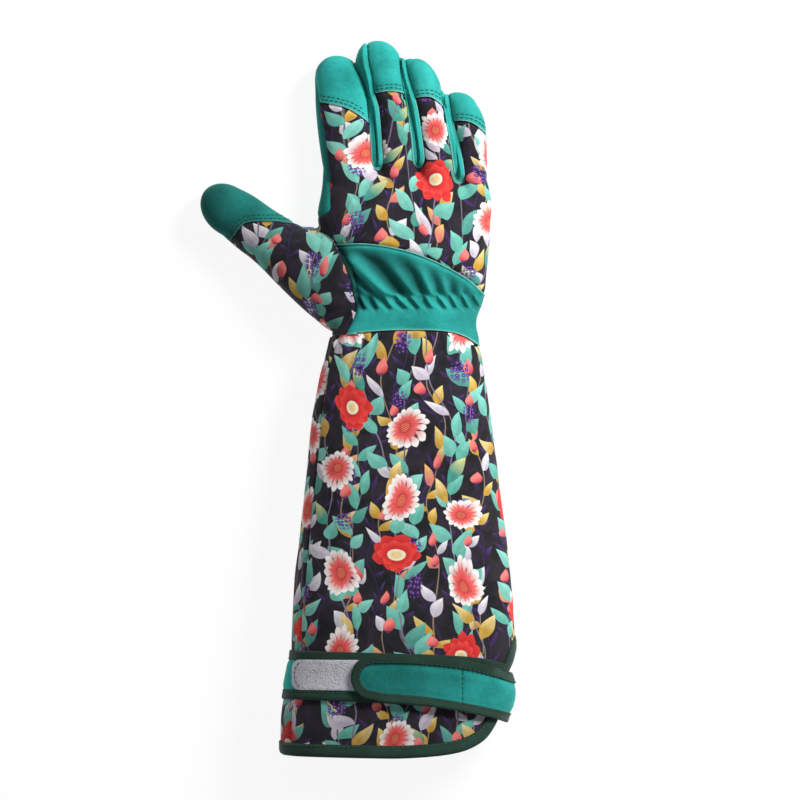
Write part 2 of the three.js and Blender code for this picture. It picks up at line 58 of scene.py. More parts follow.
bodyRows = columns("y left right top floor tilt", [
    (-215, -46.6, 87.0, 58.0, 2.6, 0),
    (-190, -46.4, 87.6, 57.0, 2.6, 0),
    (-170, -43.2, 88.2, 55.5, 2.6, 0),
    (-155, -40.6, 93.4, 57.0, 2.6, 0),
    (-140, -40.4, 93.8, 58.0, 2.6, 0),
    (-120, -39.6, 92.6, 57.5, 2.6, 0),
    (-89, -36.6, 89.6, 56.0, 2.6, 0),
    (-50, -31.4, 84.4, 53.0, 2.6, 0),
    (-12, -27.4, 79.8, 50.0, 2.8, 0),
    (16, -22.2, 75.6, 46.0, 3.4, 0),
    (36, -17.0, 72.0, 42.5, 4.0, 0),
    (47, -13.5, 70.6, 40.0, 4.0, 0),
    (60, -9.0, 75.3, 40.0, 1.6, 0),
    (76, -9.0, 77.0, 41.5, 0.0, 0),
    (92, -17.5, 78.6, 41.0, 0.0, 0),
    (106, -24.6, 79.2, 38.0, 0.0, -3),
    (122, -22.2, 80.2, 33.5, 0.0, -8),
    (137, -20.4, 78.0, 22.0, 2.5, -12),
])
fingers = {
    "index": dict(tip=(-13.2, 207.0), rows=columns("y left right top", [
        (118, -17.5, 11.8, 28.5), (150, -23.1, 10.6, 25.5), (174, -25.8, 8.2, 23.5),
        (190, -26.4, 4.2, 22.0)])),
    "middle": dict(tip=(11.4, 215.9), rows=columns("y left right top", [
        (118, 12.8, 36.2, 31.5), (150, 11.8, 34.6, 27.0), (174, 9.4, 31.2, 24.5),
        (190, 5.4, 28.0, 23.5), (202, -0.2, 26.0, 22.0)])),
    "ring": dict(tip=(34.6, 205.2), rows=columns("y left right top", [
        (118, 37.4, 60.8, 30.5), (150, 35.8, 58.0, 26.0), (174, 32.4, 53.6, 23.5),
        (190, 29.2, 49.0, 22.0)])),
    "little": dict(tip=(59.0, 184.9), rows=columns("y left right top", [
        (118, 61.0, 77.4, 27.0), (150, 59.4, 77.4, 23.0), (166, 55.4, 76.2, 21.5),
        (174, 53.0, 73.4, 21.0), (178, 51.8, 70.8, 20.6)])),
}
# The thumb's sections stand on a line from a, beside the index finger, to b, its outer edge.
thumbRows = columns("s ax ay bx by top", [
    (0, -5.0, 90.0, 0.0, 48.0, 36.0),
    (1, -16.4, 99.6, -13.8, 40.5, 36.0),
    (2, -26.2, 103.8, -28.2, 50.0, 33.5),
    (3, -34.8, 104.6, -44.4, 64.8, 30.0),
    (4, -49.8, 113.0, -61.2, 81.6, 27.0),
    (5, -63.4, 122.6, -73.4, 91.4, 24.5),
    (6, -74.4, 128.4, -82.2, 99.2, 23.0),
])
thumbTip = (-94.9, 121.4)
seamLevels = columns("y z", [(-230, 26), (20, 20), (60, 17), (110, 15), (140, 11), (230, 10)])
thumbSeamLevel = 12.0
gussetFoot = 5.5

# Seam lines as they lie when seen from above.
bandTop = [(-30, 93), (-12.6, 93.4), (3.5, 93.6), (18.8, 91.7), (34.1, 87.8), (49.4, 81.4),
           (64.7, 72.9), (74.6, 64.5), (90, 50)]
bandBottom = [(-130, 39), (-8, 39), (-0.6, 40.2), (25.2, 41.7), (49.2, 41.2), (62.4, 38.4),
              (73.2, 31.8), (90, 19)]
thumbSeam = [(-26, 103), (-16.8, 97.2), (-12, 90), (-7.8, 79.2), (-3.6, 64.8), (-1.8, 52.8),
             (-8.5, 38)]
leftStrip = [(-29.5, 204), (-27.6, 198), (-26.2, 192), (-25.0, 186), (-24.2, 180), (-23.4, 173),
             (-21.6, 164), (-20.2, 156), (-19.0, 146), (-18.0, 135), (-17.4, 122), (-17.6, 114),
             (-22.6, 110.6), (-28, 108.6)]
capLines = {
    "index": [(-32, 179.4), (-22.2, 178.6), (-11.5, 176.6), (-3.0, 173.2), (8, 165.5)],
    "middle": [(4, 183.4), (9.6, 184.2), (19.8, 185.4), (30.6, 183.6), (34, 183)],
    "ring": [(25, 181.2), (34.2, 181.5), (43.2, 181.8), (51.6, 176.4), (56, 173)],
    "little": [(53, 167.6), (55.8, 167.7), (67.2, 166.8), (76.8, 160.2), (82, 156)],
}
thumbCapLine = [(-84, 88), (-76.8, 96), (-70.5, 104.4), (-64.8, 106.9), (-51.6, 107.2),
                (-40.2, 107), (-30, 112)]
gussetLines = {
    "gusset_index_middle": [
        (-6, 230), (-2.4, 203), (0.7, 196), (3.2, 190.6), (4.9, 185), (5.7, 180), (6.3, 174), (7.7, 152),
        (8.2, 144), (9.7, 139.6), (11.6, 138.0), (13.4, 139.4), (14.4, 144), (14.0, 152), (12.2, 174),
        (9.4, 184), (7.6, 194), (5.4, 206), (4.6, 230)],
    "gusset_middle_ring": [
        (25.2, 230), (25.4, 203), (26.6, 192), (28.4, 183), (29.9, 174), (32.5, 152), (33.0, 144.4),
        (34.4, 140.4), (36.2, 139.0), (38.0, 140.4), (39.4, 144.6), (38.8, 152), (35.6, 174),
        (32.4, 186), (29.8, 195), (28.1, 204), (27.4, 230)],
    "gusset_ring_little": [
        (50.2, 230), (50.1, 199), (50.3, 190), (50.8, 183), (51.6, 176.4), (53.0, 168.6), (55.9, 151),
        (57.6, 139), (59.2, 133.4), (61.0, 131.4), (62.8, 132.8), (63.6, 137), (61.2, 150), (56.6, 168),
        (55.0, 176), (53.0, 188), (51.6, 199), (51.0, 230)],
}
# The angle round the cuff at which the cloth ends below the vent's top, from the right side edge.
ventRows = columns("y angle", [
    (-213.6, 72), (-211, 55), (-204, 37), (-197, 27.5), (-190, 20), (-180, 14), (-168, 10), (-160, 7.6),
    (-153.6, 5), (-149.6, 0.6)])
hemRows = columns("angle y", [
    (80, -214.4), (90, -214.4), (120, -213.8), (150, -213.2), (166, -212.6), (180, -211.4)])
ventTop = ventRows["y"][-1]


def smoothValue(table, key, name, at):
    keys, values = table[key], table[name]
    last = len(keys) - 1
    places = np.arange(last + 1)
    before, after = np.maximum(places - 1, 0), np.minimum(places + 1, last)
    slope = (values[after] - values[before]) / (keys[after] - keys[before])
    at = np.clip(at, keys[0], keys[-1])
    i = np.clip(np.searchsorted(keys, at, side="right") - 1, 0, last - 1)
    span = keys[i + 1] - keys[i]
    t = (at - keys[i]) / span
    return (values[i] * (2 * t**3 - 3 * t**2 + 1) + values[i + 1] * (3 * t**2 - 2 * t**3)
            + slope[i] * span * (t**3 - 2 * t**2 + t) + slope[i + 1] * span * (t**3 - t**2))


def ramp(value, low, high):
    t = np.clip((value - low) / (high - low), 0, 1)
    return t * t * (3 - 2 * t)


def bump(value, at, width):
    return np.exp(-(((value - at) / width) ** 2))


def softMax(a, b, width):
    return 0.5 * (a + b + np.sqrt((a - b) ** 2 + width**2))


# Smooth random heights between -1 and 1 over places given in millimetres.
def softNoise(places, size, seed):
    cells = np.floor(np.asarray(places, float) / size).astype(int)
    t = np.asarray(places, float) / size - cells
    t = t * t * (3 - 2 * t)
    table = np.random.default_rng(seed).uniform(-1, 1, 4096)
    total = 0
    for corner in np.ndindex(*(2,) * cells.shape[-1]):
        weight = np.prod(np.where(np.array(corner, bool), t, 1 - t), -1)
        place = (cells + np.array(corner)) @ np.array([1, 57, 3249])[: cells.shape[-1]]
        total = total + weight * table[place % len(table)]
    return total


# A section's widest place, in shares of its height, and how full it is at its sides, top and foot.
fullness = dict(widest=0.45, sides=0.9, top=0.9, foot=0.75, footDepth=1.15, footRound=1.8)


# A rounded section on the line from a to b. Angle 0 is at b, 90 on top, 180 at a.
def sectionPoints(ax, ay, bx, by, top, floor, angle, out=0.0):
    width = np.hypot(bx - ax, by - ay)
    half = np.maximum(width / 2 + out, 0.05)
    middle = floor + fullness["widest"] * (top - floor)
    c, s = np.cos(np.radians(angle)), np.sin(np.radians(angle))
    side = half * np.sign(c) * np.abs(c) ** fullness["sides"]
    upper = middle + (top + out - middle) * np.maximum(s, 0) ** fullness["top"]
    lower = middle - (middle - floor + out) * fullness["footDepth"] * np.abs(s) ** fullness["foot"]
    lower = softMax(lower, floor - out, fullness["footRound"])
    z = np.where(s >= 0, upper, lower)
    x = (ax + bx) / 2 + side * (bx - ax) / width
    y = (ay + by) / 2 + side * (by - ay) / width
    return np.stack(np.broadcast_arrays(x, y, z), -1)


def bodyPoints(y, angle, out=0.0):
    left, right, top, floor, tilt = (smoothValue(bodyRows, "y", name, y)
                                     for name in ("left", "right", "top", "floor", "tilt"))
    return sectionPoints(left, y - tilt / 2, right, y + tilt / 2, top, floor, angle, out)


# A smooth line through points, as closely spaced points.
def smoothLine(points, steps=8):
    p = np.array(points, float)
    p = np.vstack([2 * p[0] - p[1], p, 2 * p[-1] - p[-2]])
    t = np.linspace(0, 1, steps, endpoint=False)[:, None]
    parts = [0.5 * (2 * b + (c - a) * t + (2 * a - 5 * b + 4 * c - d) * t**2
                    + (3 * b - a - 3 * c + d) * t**3)
             for a, b, c, d in zip(p, p[1:], p[2:], p[3:])]
    return np.vstack(parts + [p[-2:-1]])


# Distance in plan from a closed outline, positive inside it.
def insideBy(x, y, outline):
    nearest = np.full(np.shape(x), 1e9)
    odd = np.zeros(np.shape(x), bool)
    for (x0, y0), (x1, y1) in zip(outline, np.roll(outline, -1, 0)):
        dx, dy = x1 - x0, y1 - y0
        t = np.clip(((x - x0) * dx + (y - y0) * dy) / max(dx * dx + dy * dy, 1e-9), 0, 1)
        nearest = np.minimum(nearest, np.hypot(x - x0 - t * dx, y - y0 - t * dy))
        if y0 != y1:
            odd ^= ((y0 > y) != (y1 > y)) & (x < x0 + (y - y0) * dx / dy)
    return np.where(odd, nearest, -nearest)


# Triangles with the values that each point carries.
class Skin:
    def __init__(self, points, faces, **values):
        self.points = np.asarray(points, float)
        self.faces = np.asarray(faces, int)
        self.values = values

    def __getattr__(self, name):
        values = self.__dict__.get("values", {})
        if name in values:
            return values[name]
        raise AttributeError(name)

    x = property(lambda self: self.points[:, 0])
    y = property(lambda self: self.points[:, 1])
    z = property(lambda self: self.points[:, 2])

    def kept(self, faces):
        used, faces = np.unique(faces, return_inverse=True)
        values = {name: value[used] for name, value in self.values.items()}
        return Skin(self.points[used], faces.reshape(-1, 3), **values)

    # Cuts along the zero line of a field that has a value at each point, and keeps its positive side.
    def trimmed(self, field, snap=0.05):
        field = np.where(np.abs(field) < snap, 0.0, field)
        inside = field >= 0
        count = inside[self.faces].sum(1)

        def turned(faces, odd):
            first = np.argmax(inside[faces] == odd, 1)
            return np.take_along_axis(faces, (first[:, None] + np.arange(3)) % 3, 1)

        one = turned(self.faces[count == 1], True)
        two = turned(self.faces[count == 2], False)
        edges = np.concatenate([one[:, [0, 1]], one[:, [0, 2]], two[:, [1, 0]], two[:, [2, 0]]])
        if not len(edges):
            return self.kept(self.faces[count == 3])
        keys, where = np.unique(edges, axis=0, return_inverse=True)
        inner, outer = keys.T
        share = field[inner] / (field[inner] - field[outer])

        def cut(array):
            part = share if array.ndim == 1 else share[:, None]
            return np.concatenate([array, array[inner] + (array[outer] - array[inner]) * part])

        new = np.where(share < 1e-6, inner, len(self.points) + np.arange(len(keys)))[where.ravel()]
        ab, ac, ba, ca = np.split(new, np.cumsum([len(one), len(one), len(two)]))
        faces = np.concatenate([
            self.faces[count == 3],
            np.stack([one[:, 0], ab, ac], 1),
            np.stack([ba, two[:, 1], two[:, 2]], 1),
            np.stack([ba, two[:, 2], ca], 1),
        ])
        a, b, c = faces.T
        faces = faces[(a != b) & (b != c) & (c != a)]
        values = {name: cut(value) for name, value in self.values.items()}
        return Skin(cut(self.points), faces, **values).kept(faces)

    # Each triangle becomes four.
    def finer(self):
        edges = np.sort(np.concatenate([self.faces[:, [i, (i + 1) % 3]] for i in range(3)]), 1)
        keys, where = np.unique(edges, axis=0, return_inverse=True)

        def halved(array):
            return np.concatenate([array, (array[keys[:, 0]] + array[keys[:, 1]]) / 2])

        ab, bc, ca = np.split(len(self.points) + where.ravel(), 3)
        a, b, c = self.faces.T
        quarters = (a, ab, ca), (b, bc, ab), (c, ca, bc), (ab, bc, ca)
        faces = np.concatenate([np.stack(quarter, 1) for quarter in quarters])
        values = {name: halved(value) for name, value in self.values.items()}
        return Skin(halved(self.points), faces, **values)

    def area(self):
        a, b, c = (self.points[self.faces[:, i]] for i in range(3))
        return np.linalg.norm(np.cross(b - a, c - a), axis=1).sum() / 2

    # Its largest connected part.
    def largest(self):
        label = np.arange(len(self.points))
        while True:
            low = label.copy()
            np.minimum.at(low, self.faces.ravel(), np.repeat(label[self.faces].min(1), 3))
            low = low[low]
            if (low == label).all():
                break
            label = low
        names, counts = np.unique(label, return_counts=True)
        return self.kept(self.faces[label[self.faces[:, 0]] == names[counts.argmax()]])

    def moved(self, height):
        self.points = self.points + self.values["normal"] * height[:, None]
        return self


# Triangles of a grid of points; a closed one runs round in its second direction.
def gridFaces(rows, across, closed=False):
    wide = across if closed else across - 1
    j, i = np.meshgrid(np.arange(rows - 1), np.arange(wide), indexing="ij")
    a, b = j * across + i, j * across + (i + 1) % across
    c, d = b + across, a + across
    return np.concatenate([np.stack([a, b, c], -1), np.stack([a, c, d], -1)]).reshape(-1, 3)


def tubeMesh(rings):
    rows, across = rings.shape[:2]
    points = np.vstack([rings.reshape(-1, 3), rings[0].mean(0), rings[-1].mean(0)])
    k = np.arange(across)
    first, last = rows * across, rows * across + 1
    end = (rows - 1) * across
    fans = [np.stack([np.full(across, first), (k + 1) % across, k], 1),
            np.stack([np.full(across, last), end + k, end + (k + 1) % across], 1)]
    return points, np.vstack([gridFaces(rows, across, True), *fans])


# Pieces in Blender.
def meshObject(name, points, faces):
    mesh = bpy.data.meshes.new(name)
    mesh.from_pydata((np.asarray(points) * mm).tolist(), [], np.asarray(faces).tolist())
    mesh.update()
    made = bpy.data.objects.new(name, mesh)
    bpy.context.collection.objects.link(made)
    return made


def onlySelect(piece):
    bpy.ops.object.select_all(action="DESELECT")
    piece.select_set(True)
    bpy.context.view_layer.objects.active = piece


def applied(piece, kind, **settings):
    onlySelect(piece)
    modifier = piece.modifiers.new(kind.title(), kind)
    for key, value in settings.items():
        setattr(modifier, key, value)
    bpy.ops.object.modifier_apply(modifier=modifier.name)
    return piece


def skinOf(piece):
    mesh = piece.data
    mesh.calc_loop_triangles()
    points = np.empty(len(mesh.vertices) * 3)
    mesh.vertices.foreach_get("co", points)
    normals = np.empty(len(mesh.vertices) * 3)
    mesh.vertex_normals.foreach_get("vector", normals)
    faces = np.empty(len(mesh.loop_triangles) * 3, int)
    mesh.loop_triangles.foreach_get("vertices", faces)
    return Skin(points.reshape(-1, 3) / mm, faces.reshape(-1, 3), normal=normals.reshape(-1, 3))


# The hand filled out: lofts of the palm, the fingers and the thumb, joined and smoothed.
handShape = dict(
    voxel=0.9,
    smoothing=7,
    ringStep=3.0, turnStep=4.0,
    palm=(8.0, 137.1),  # where the palm's loft starts and ends
    tipRings=14, thumbRings=36, webRings=12,
    tipLevel=0.42, tipTop=0.8, tipFloor=0.6,  # where a tip closes, and how round it is above and below
    fingerGap=0.55,  # room kept at each side of a finger while the lofts are joined
    fingerRise=6.0, riseOver=36.0,  # how far off the ground a finger's loft starts, inside the palm
    swell=0.5, swellFacing=0.95,  # how far a finger swells back, and how much more towards the next
    webFloor=2.0,
    webs=[  # between the middle and the ring finger, at their roots and at their tips
        dict(left=31.0, right=41.0, back=120.0, front=140.4, top=20.0),
        dict(left=25.4, right=34.0, back=184.0, front=204.8, top=16.0),
    ],
)


def shrinkingTip(ax, ay, bx, by, top, tip, t):
    size = np.sqrt(np.maximum(1 - t * t, 0))
    mx, my = (ax + bx) / 2, (ay + by) / 2
    cx, cy = mx + (tip[0] - mx) * t, my + (tip[1] - my) * t
    hx, hy = (bx - ax) / 2 * size, (by - ay) / 2 * size
    level = handShape["tipLevel"] * top
    return (cx - hx, cy - hy, cx + hx, cy + hy, level + (top - level) * size ** handShape["tipTop"],
            level * (1 - size ** handShape["tipFloor"]))


def loftParts():
    shape = handShape
    turn = np.arange(0, 360, shape["turnStep"])
    tipSteps = np.sin(np.radians(np.linspace(0, 88, shape["tipRings"])))

    def loft(sides):
        return tubeMesh(np.array([sectionPoints(*side, turn) for side in sides]))

    ys = np.arange(*shape["palm"], shape["ringStep"])
    yield tubeMesh(bodyPoints(ys[:, None], turn[None, :]))
    for web in shape["webs"]:
        ys = np.linspace(web["back"], web["front"], shape["webRings"])
        yield loft([(web["left"], y, web["right"], y, web["top"], shape["webFloor"]) for y in ys])
    gap = shape["fingerGap"]
    for finger in fingers.values():
        rows, tip = finger["rows"], finger["tip"]
        ys = np.arange(rows["y"][0], rows["y"][-1], shape["ringStep"])
        left, right, top = (smoothValue(rows, "y", name, ys) for name in ("left", "right", "top"))
        floor = shape["fingerRise"] * (1 - ramp(ys, ys[0], ys[0] + shape["riseOver"]))
        sides = [(a + gap, y, b - gap, y, t, low) for y, a, b, t, low in zip(ys, left, right, top, floor)]
        a, b, t, end = rows["left"][-1] + gap, rows["right"][-1] - gap, rows["top"][-1], rows["y"][-1]
        yield loft(sides + [shrinkingTip(a, end, b, end, t, tip, step) for step in tipSteps])
    names = ("ax", "ay", "bx", "by", "top")
    ss = np.linspace(0, thumbRows["s"][-1], shape["thumbRings"])[:-1]
    sides = [(*row, 0.0) for row in zip(*(smoothValue(thumbRows, "s", name, ss) for name in names))]
    end = [thumbRows[name][-1] for name in names]
    yield loft(sides + [shrinkingTip(*end, thumbTip, step) for step in tipSteps])


def handSkin():
    points, faces = [], []
    for partPoints, partFaces in loftParts():
        faces.append(partFaces + sum(map(len, points)))
        points.append(partPoints)
    form = meshObject("handForm", np.vstack(points), np.vstack(faces))
    # The thumb's sections run the other way round, so all faces are turned outwards here.
    onlySelect(form)
    bpy.ops.object.mode_set(mode="EDIT")
    bpy.ops.mesh.select_all(action="SELECT")
    bpy.ops.mesh.normals_make_consistent(inside=False)
    bpy.ops.object.mode_set(mode="OBJECT")
    applied(form, "REMESH", mode="VOXEL", voxel_size=handShape["voxel"] * mm)
    applied(form, "SMOOTH", factor=0.5, iterations=handShape["smoothing"])
    skin = skinOf(form)
    bpy.data.objects.remove(form)
    return skin


hand = handSkin()
report(f"hand form: {len(hand.points)} points")


# Fields that say where each point of the hand lies: distances from the seam lines and levels.
thumbArea = np.vstack([smoothLine(thumbSeam), [(-40, 30), (-120, 60), (-120, 160), (-40, 125)]])
thumbCapArea = np.vstack([smoothLine(thumbCapLine), [(-30, 160), (-130, 160), (-130, 70)]])
bandArea = np.vstack([smoothLine(bandTop), smoothLine(bandBottom)[::-1]])
belowBandTop = np.vstack([smoothLine(bandTop), [(90, -50), (-90, -50)]])
backArea = np.vstack([smoothLine(leftStrip), [(-24, 60), (130, 60), (130, 260), (-40, 260)]])
handArea = np.vstack([smoothLine(bandBottom), [(90, 260), (-130, 260)]])


def gussetFields(skin):
    return np.stack([insideBy(skin.x, skin.y, smoothLine(line)) for line in gussetLines.values()], 1)


def placeFields(skin):
    x, y, z = skin.points.T
    caps = []
    for line in capLines.values():
        curve = smoothLine(line)
        caps.append(insideBy(x, y, np.vstack([curve, [(curve[-1][0], 240), (curve[0][0], 240)]])))
    skin.values.update(
        gussets=gussetFields(skin), caps=np.stack(caps, 1),
        thumb=insideBy(x, y, thumbArea), thumbEnd=insideBy(x, y, thumbCapArea),
        band=insideBy(x, y, bandArea), back=insideBy(x, y, backArea), hand=insideBy(x, y, handArea),
        up=z - np.interp(y, seamLevels["y"], seamLevels["z"]),
        thumbUp=z - thumbSeamLevel, foot=z - gussetFoot)


# The fingers swell back to their width, most where they face each other.
facing = ramp(gussetFields(hand).max(1), -3, 1)
hand.moved((handShape["swell"] + handShape["swellFacing"] * facing) * np.abs(hand.normal[:, 0])
           * ramp(hand.y, 128, 142) * ramp(hand.x, -60, -30))
placeFields(hand)
report("seam lines laid out")

sewing = dict(
    seamDepth=0.8, seamWidth=0.9,  # how far both sides of a seam are drawn in
    lap=3.0,  # cloth that runs on under the leather's raw edge
    lapDepth=1.15, lapSlope=(-2.0, 0.2),
    proud=0.5, proudOver=1.4,  # leather that lies on the cloth
    rawDrop=0.3, rawOver=0.4,  # how its raw edge is pressed down
    rows=(2.0, 4.0),  # rows of stitches, from the raw edge
    rowDepth=0.16, rowWidth=0.55,
    leatherWall=1.2,
    clothWall=1.6,
)


def seamValley(distance):
    return -sewing["seamDepth"] * np.exp(-np.maximum(distance, 0) / sewing["seamWidth"])


# Leather that ends in a raw edge on the cloth: it stands proud there, and rows sew it down.
def rawLeather(seam, edge, rows=sewing["rows"]):
    height = sewing["proud"] * (1 - np.exp(-np.maximum(seam, 0) / sewing["proudOver"])) + seamValley(seam)
    height -= sewing["rawDrop"] * np.exp(-np.maximum(edge, 0) / sewing["rawOver"])
    for row in rows:
        height -= sewing["rowDepth"] * bump(edge, row, sewing["rowWidth"])
    return height


def underLap(edge):
    return -sewing["lapDepth"] * ramp(edge, *sewing["lapSlope"])


# Cuts a skin by one field after another, each worked out on what is left.
def cutBy(skin, *fields):
    for field in fields:
        skin = skin.trimmed(field(skin))
    return skin


def offGussets(skin):
    return -skin.gussets.max(1)


# Distance from the seams that a fingertip's cap shares with the palm and the strips.
def capSeam(skin):
    return np.min([skin.up, skin.back, offGussets(skin)], 0)


# How far inside the palm's leather a point lies, away from all that is sewn to it.
def palmField(skin):
    strips = np.minimum(skin.gussets.max(1), skin.foot)
    return -np.max([skin.thumb, strips, np.minimum(skin.band, skin.up), np.minimum(skin.back, skin.up)], 0)


pieces = {}
palmLook = dict(
    sideShade=0.5,  # painted shade on the side of the index finger
    creaseDepth=0.45, creaseSize=16.0, fineCrease=7.0,  # soft creases where the palm bends
)
palm = hand.trimmed(np.minimum(palmField(hand), hand.hand)).largest()
palm.moved(seamValley(palmField(palm)))
# Painted shade on the side of the index finger.
palm.values["tone"] = (palmLook["sideShade"] * ramp(-palm.x, 14, 18) * ramp(palm.z, 2, 7)
                       * ramp(palm.y, 96, 104) * (1 - ramp(palm.y, 188, 202)))
creases = softNoise(np.stack([palm.x * 0.6, palm.y * 1.4], 1), palmLook["creaseSize"], 51)
creases = creases + 0.5 * softNoise(palm.points, palmLook["fineCrease"], 52)
palm.moved(palmLook["creaseDepth"] * creases * ramp(8 - palm.z, 0, 6))
pieces["palm_panel"] = palm

# The strips between the fingers: a rib along each side, and a crease that isn't deep.
gussetLook = dict(valley=0.5, rib=0.8, ribAt=1.3, ribWidth=0.8, pale=0.28, lifted=4.0, liftOver=3.0)
for i, name in enumerate(gussetLines):
    strip = cutBy(hand, lambda s: s.gussets[:, i], lambda s: s.foot, lambda s: -s.thumb).largest()
    border = np.minimum(strip.gussets[:, i], strip.foot)
    # Pale sets back the painted highlight along the strip's edge.
    strip.values["edge"] = strip.gussets[:, i] + gussetLook["pale"] + ramp(strip.caps.max(1), -2, 1)
    strip.moved(gussetLook["valley"] * seamValley(border)
                + gussetLook["rib"] * bump(border, gussetLook["ribAt"], gussetLook["ribWidth"]))
    strip.points[:, 2] += gussetLook["lifted"] * ramp(border, 0, gussetLook["liftOver"])
    pieces[name] = strip

# Painted shade on the fingertip caps, more on each cap further to the right.
capPaintedShade = dict(index=0.0, middle=0.06, ring=0.09, little=0.15)
for i, (name, tone) in enumerate(capPaintedShade.items()):
    cap = cutBy(hand, lambda s: s.caps[:, i], lambda s: s.up, lambda s: s.back, offGussets).largest()
    cap.values["edge"] = cap.caps[:, i]
    cap.values["tone"] = np.full(len(cap.x), tone)
    cap.moved(rawLeather(capSeam(cap), cap.edge))
    pieces[f"{name}_cap"] = cap

back = cutBy(hand, lambda s: s.back, lambda s: s.up, lambda s: -s.thumb, offGussets,
             lambda s: sewing["lap"] - s.caps.max(1), lambda s: sewing["lap"] - s.band).largest()
backSeam = np.min([back.back, back.up, -back.thumb, offGussets(back)], 0)
back.moved(seamValley(backSeam) + underLap(np.maximum(back.caps.max(1), back.band)))
pieces["back_panel"] = back

# Painted shade: the thumb's cap darker towards its tip, and its printed back darker all over. Pale sets back
# the painted highlight along the cap's raw edge.
thumbLook = dict(pale=0.5, tone=0.08, tipShade=0.52, shadeFrom=60, shadeTo=92, backShade=0.2)
thumb = cutBy(hand, lambda s: s.thumb, lambda s: s.hand)
thumbPalm = thumb.trimmed(-thumb.thumbUp)
thumbPalm.moved(seamValley(np.minimum(thumbPalm.thumb, -thumbPalm.thumbUp)))
pieces["thumb_palm"] = thumbPalm
upper = thumb.trimmed(thumb.thumbUp)
thumbCap = upper.trimmed(upper.thumbEnd)
thumbCap.values["edge"] = thumbCap.thumbEnd + thumbLook["pale"]
thumbCap.values["tone"] = (thumbLook["tone"] + thumbLook["tipShade"]
                           * ramp(-thumbCap.x, thumbLook["shadeFrom"], thumbLook["shadeTo"]))
thumbCap.moved(rawLeather(thumbCap.thumbUp, thumbCap.edge))
pieces["thumb_cap"] = thumbCap
thumbBack = upper.trimmed(sewing["lap"] - upper.thumbEnd)
thumbBack.moved(seamValley(np.minimum(thumbBack.thumbUp, thumbBack.thumb)) + underLap(thumbBack.thumbEnd))
thumbBack.values["tone"] = np.full(len(thumbBack.x), thumbLook["backShade"])
pieces["thumb_back"] = thumbBack

# Leather band over the wrist. An elastic row gathers it into tucks, and folds fan out above the row.
wristBand = dict(
    rowLow=54.0, rowHigh=62.5,  # the gathered row
    left=-7.0, right=77.0,
    pitch=7.7, slant=0.68, firstTuck=16.0, wander=0.2,
    scallop=5.0,  # how far the row's lower edge runs in under each tuck
    tuckHeight=2.1, hollow=1.3,
    steep=0.10, gentle=0.34,  # how a tuck falls away on its left and on its right, in shares of the pitch
    waist=1.2,  # how far the elastic draws the band in
    crumple=0.35,  # of the plain strip below the row
    foldHeight=0.85, foldSpread=0.03,
    folds=columns("place width height", [
        (-3, 4.0, -1.4), (5, 2.6, 0.8), (9.5, 2.2, -2.0), (18, 4.4, 3.2), (26.5, 4.4, -4.6),
        (33.5, 2.4, 1.6), (39, 2.4, -3.4), (44, 2.0, 1.3), (48.5, 2.2, -3.0), (53, 1.8, 1.1),
        (57, 1.9, -2.8), (60.8, 1.6, 0.9), (64.5, 1.9, -2.7), (68.2, 1.5, 0.8), (71.5, 1.6, -1.8)]),
    lean=columns("place share", [(-5, 1.0), (28, 0.95), (43, 0.45), (60, 0.05), (75, -0.1)]),
    # Painted shade: in the folds and tucks, along the groove, at the left end, near the seams on the left
    # and towards the right.
    shade=dict(all=0.9, least=0.09, above=0.40, fold=0.15, row=0.2, crease=0.24, tuck=0.18, right=0.24,
               left=0.25, side=0.45, groove=0.4),
    hemRow=1.6,  # the row of stitches along the band's lower edge
    rim=0.3, grooveAt=1.3, grooveDepth=0.55,  # the turned upper edge and the groove beside it
)


# Height and shade of the folds.
def gathers(x, y, topGap):
    row, dark = wristBand, wristBand["shade"]
    rise = y - row["rowHigh"]
    place = x.copy()
    for _ in range(8):
        place = x + np.interp(place, row["lean"]["place"], row["lean"]["share"]) * np.maximum(rise, 0)
    folds = sum(height * bump(place, at, width * (1 + row["foldSpread"] * np.maximum(rise, 0)))
                for at, width, height in zip(*row["folds"].values()))
    folds = folds * ramp(rise, -3, 2) * ramp(topGap, 1.5, 12)
    wander = row["wander"] * softNoise(np.stack([x, y * 0.6], 1), 10.0, 4)
    share = (x + row["slant"] * rise - row["firstTuck"]) / row["pitch"] + 0.5 + wander
    share = share - np.floor(share)
    low = row["rowLow"] - 1.0 + row["scallop"] * np.minimum(share, 1 - share)
    inRow = ramp(y, low - 1.6, low + 1.6) * (1 - ramp(rise, -2.5, 2.5))
    inRow = inRow * ramp(x, row["left"], row["left"] + 6) * (1 - ramp(x, row["right"] - 7, row["right"]))
    off = share - 0.5
    tucks = np.exp(-(off / np.where(off < 0, row["steep"], row["gentle"])) ** 2)
    crease = bump((off + 0.8) % 1.0 - 0.5, 0, 0.11)
    waist = row["waist"] * bump(y, (row["rowLow"] + row["rowHigh"]) / 2, 7) * ramp(x, -4, 8)
    crumple = row["crumple"] * softNoise(np.stack([x, y * 1.5], 1), 11.0, 9) * (1 - ramp(y, 50, 55))
    shade = np.clip(dark["above"] * ramp(rise, -2, 3) - dark["fold"] * folds, 0.04, 0.8)
    inTucks = dark["row"] + dark["crease"] * crease - dark["tuck"] * tucks
    shade = np.maximum(shade * (1 - inRow), inTucks * inRow)
    shade = shade * (1 - 0.4 * ramp(x, 20, 70)) + 0.3 * inRow * (1 - ramp(x, 6, 20))
    shade = dark["all"] * shade + dark["least"] + dark["right"] * ramp(x, 46, 66)
    tucks = row["tuckHeight"] * tucks - row["hollow"]
    return row["foldHeight"] * folds + tucks * inRow - waist + crumple, shade


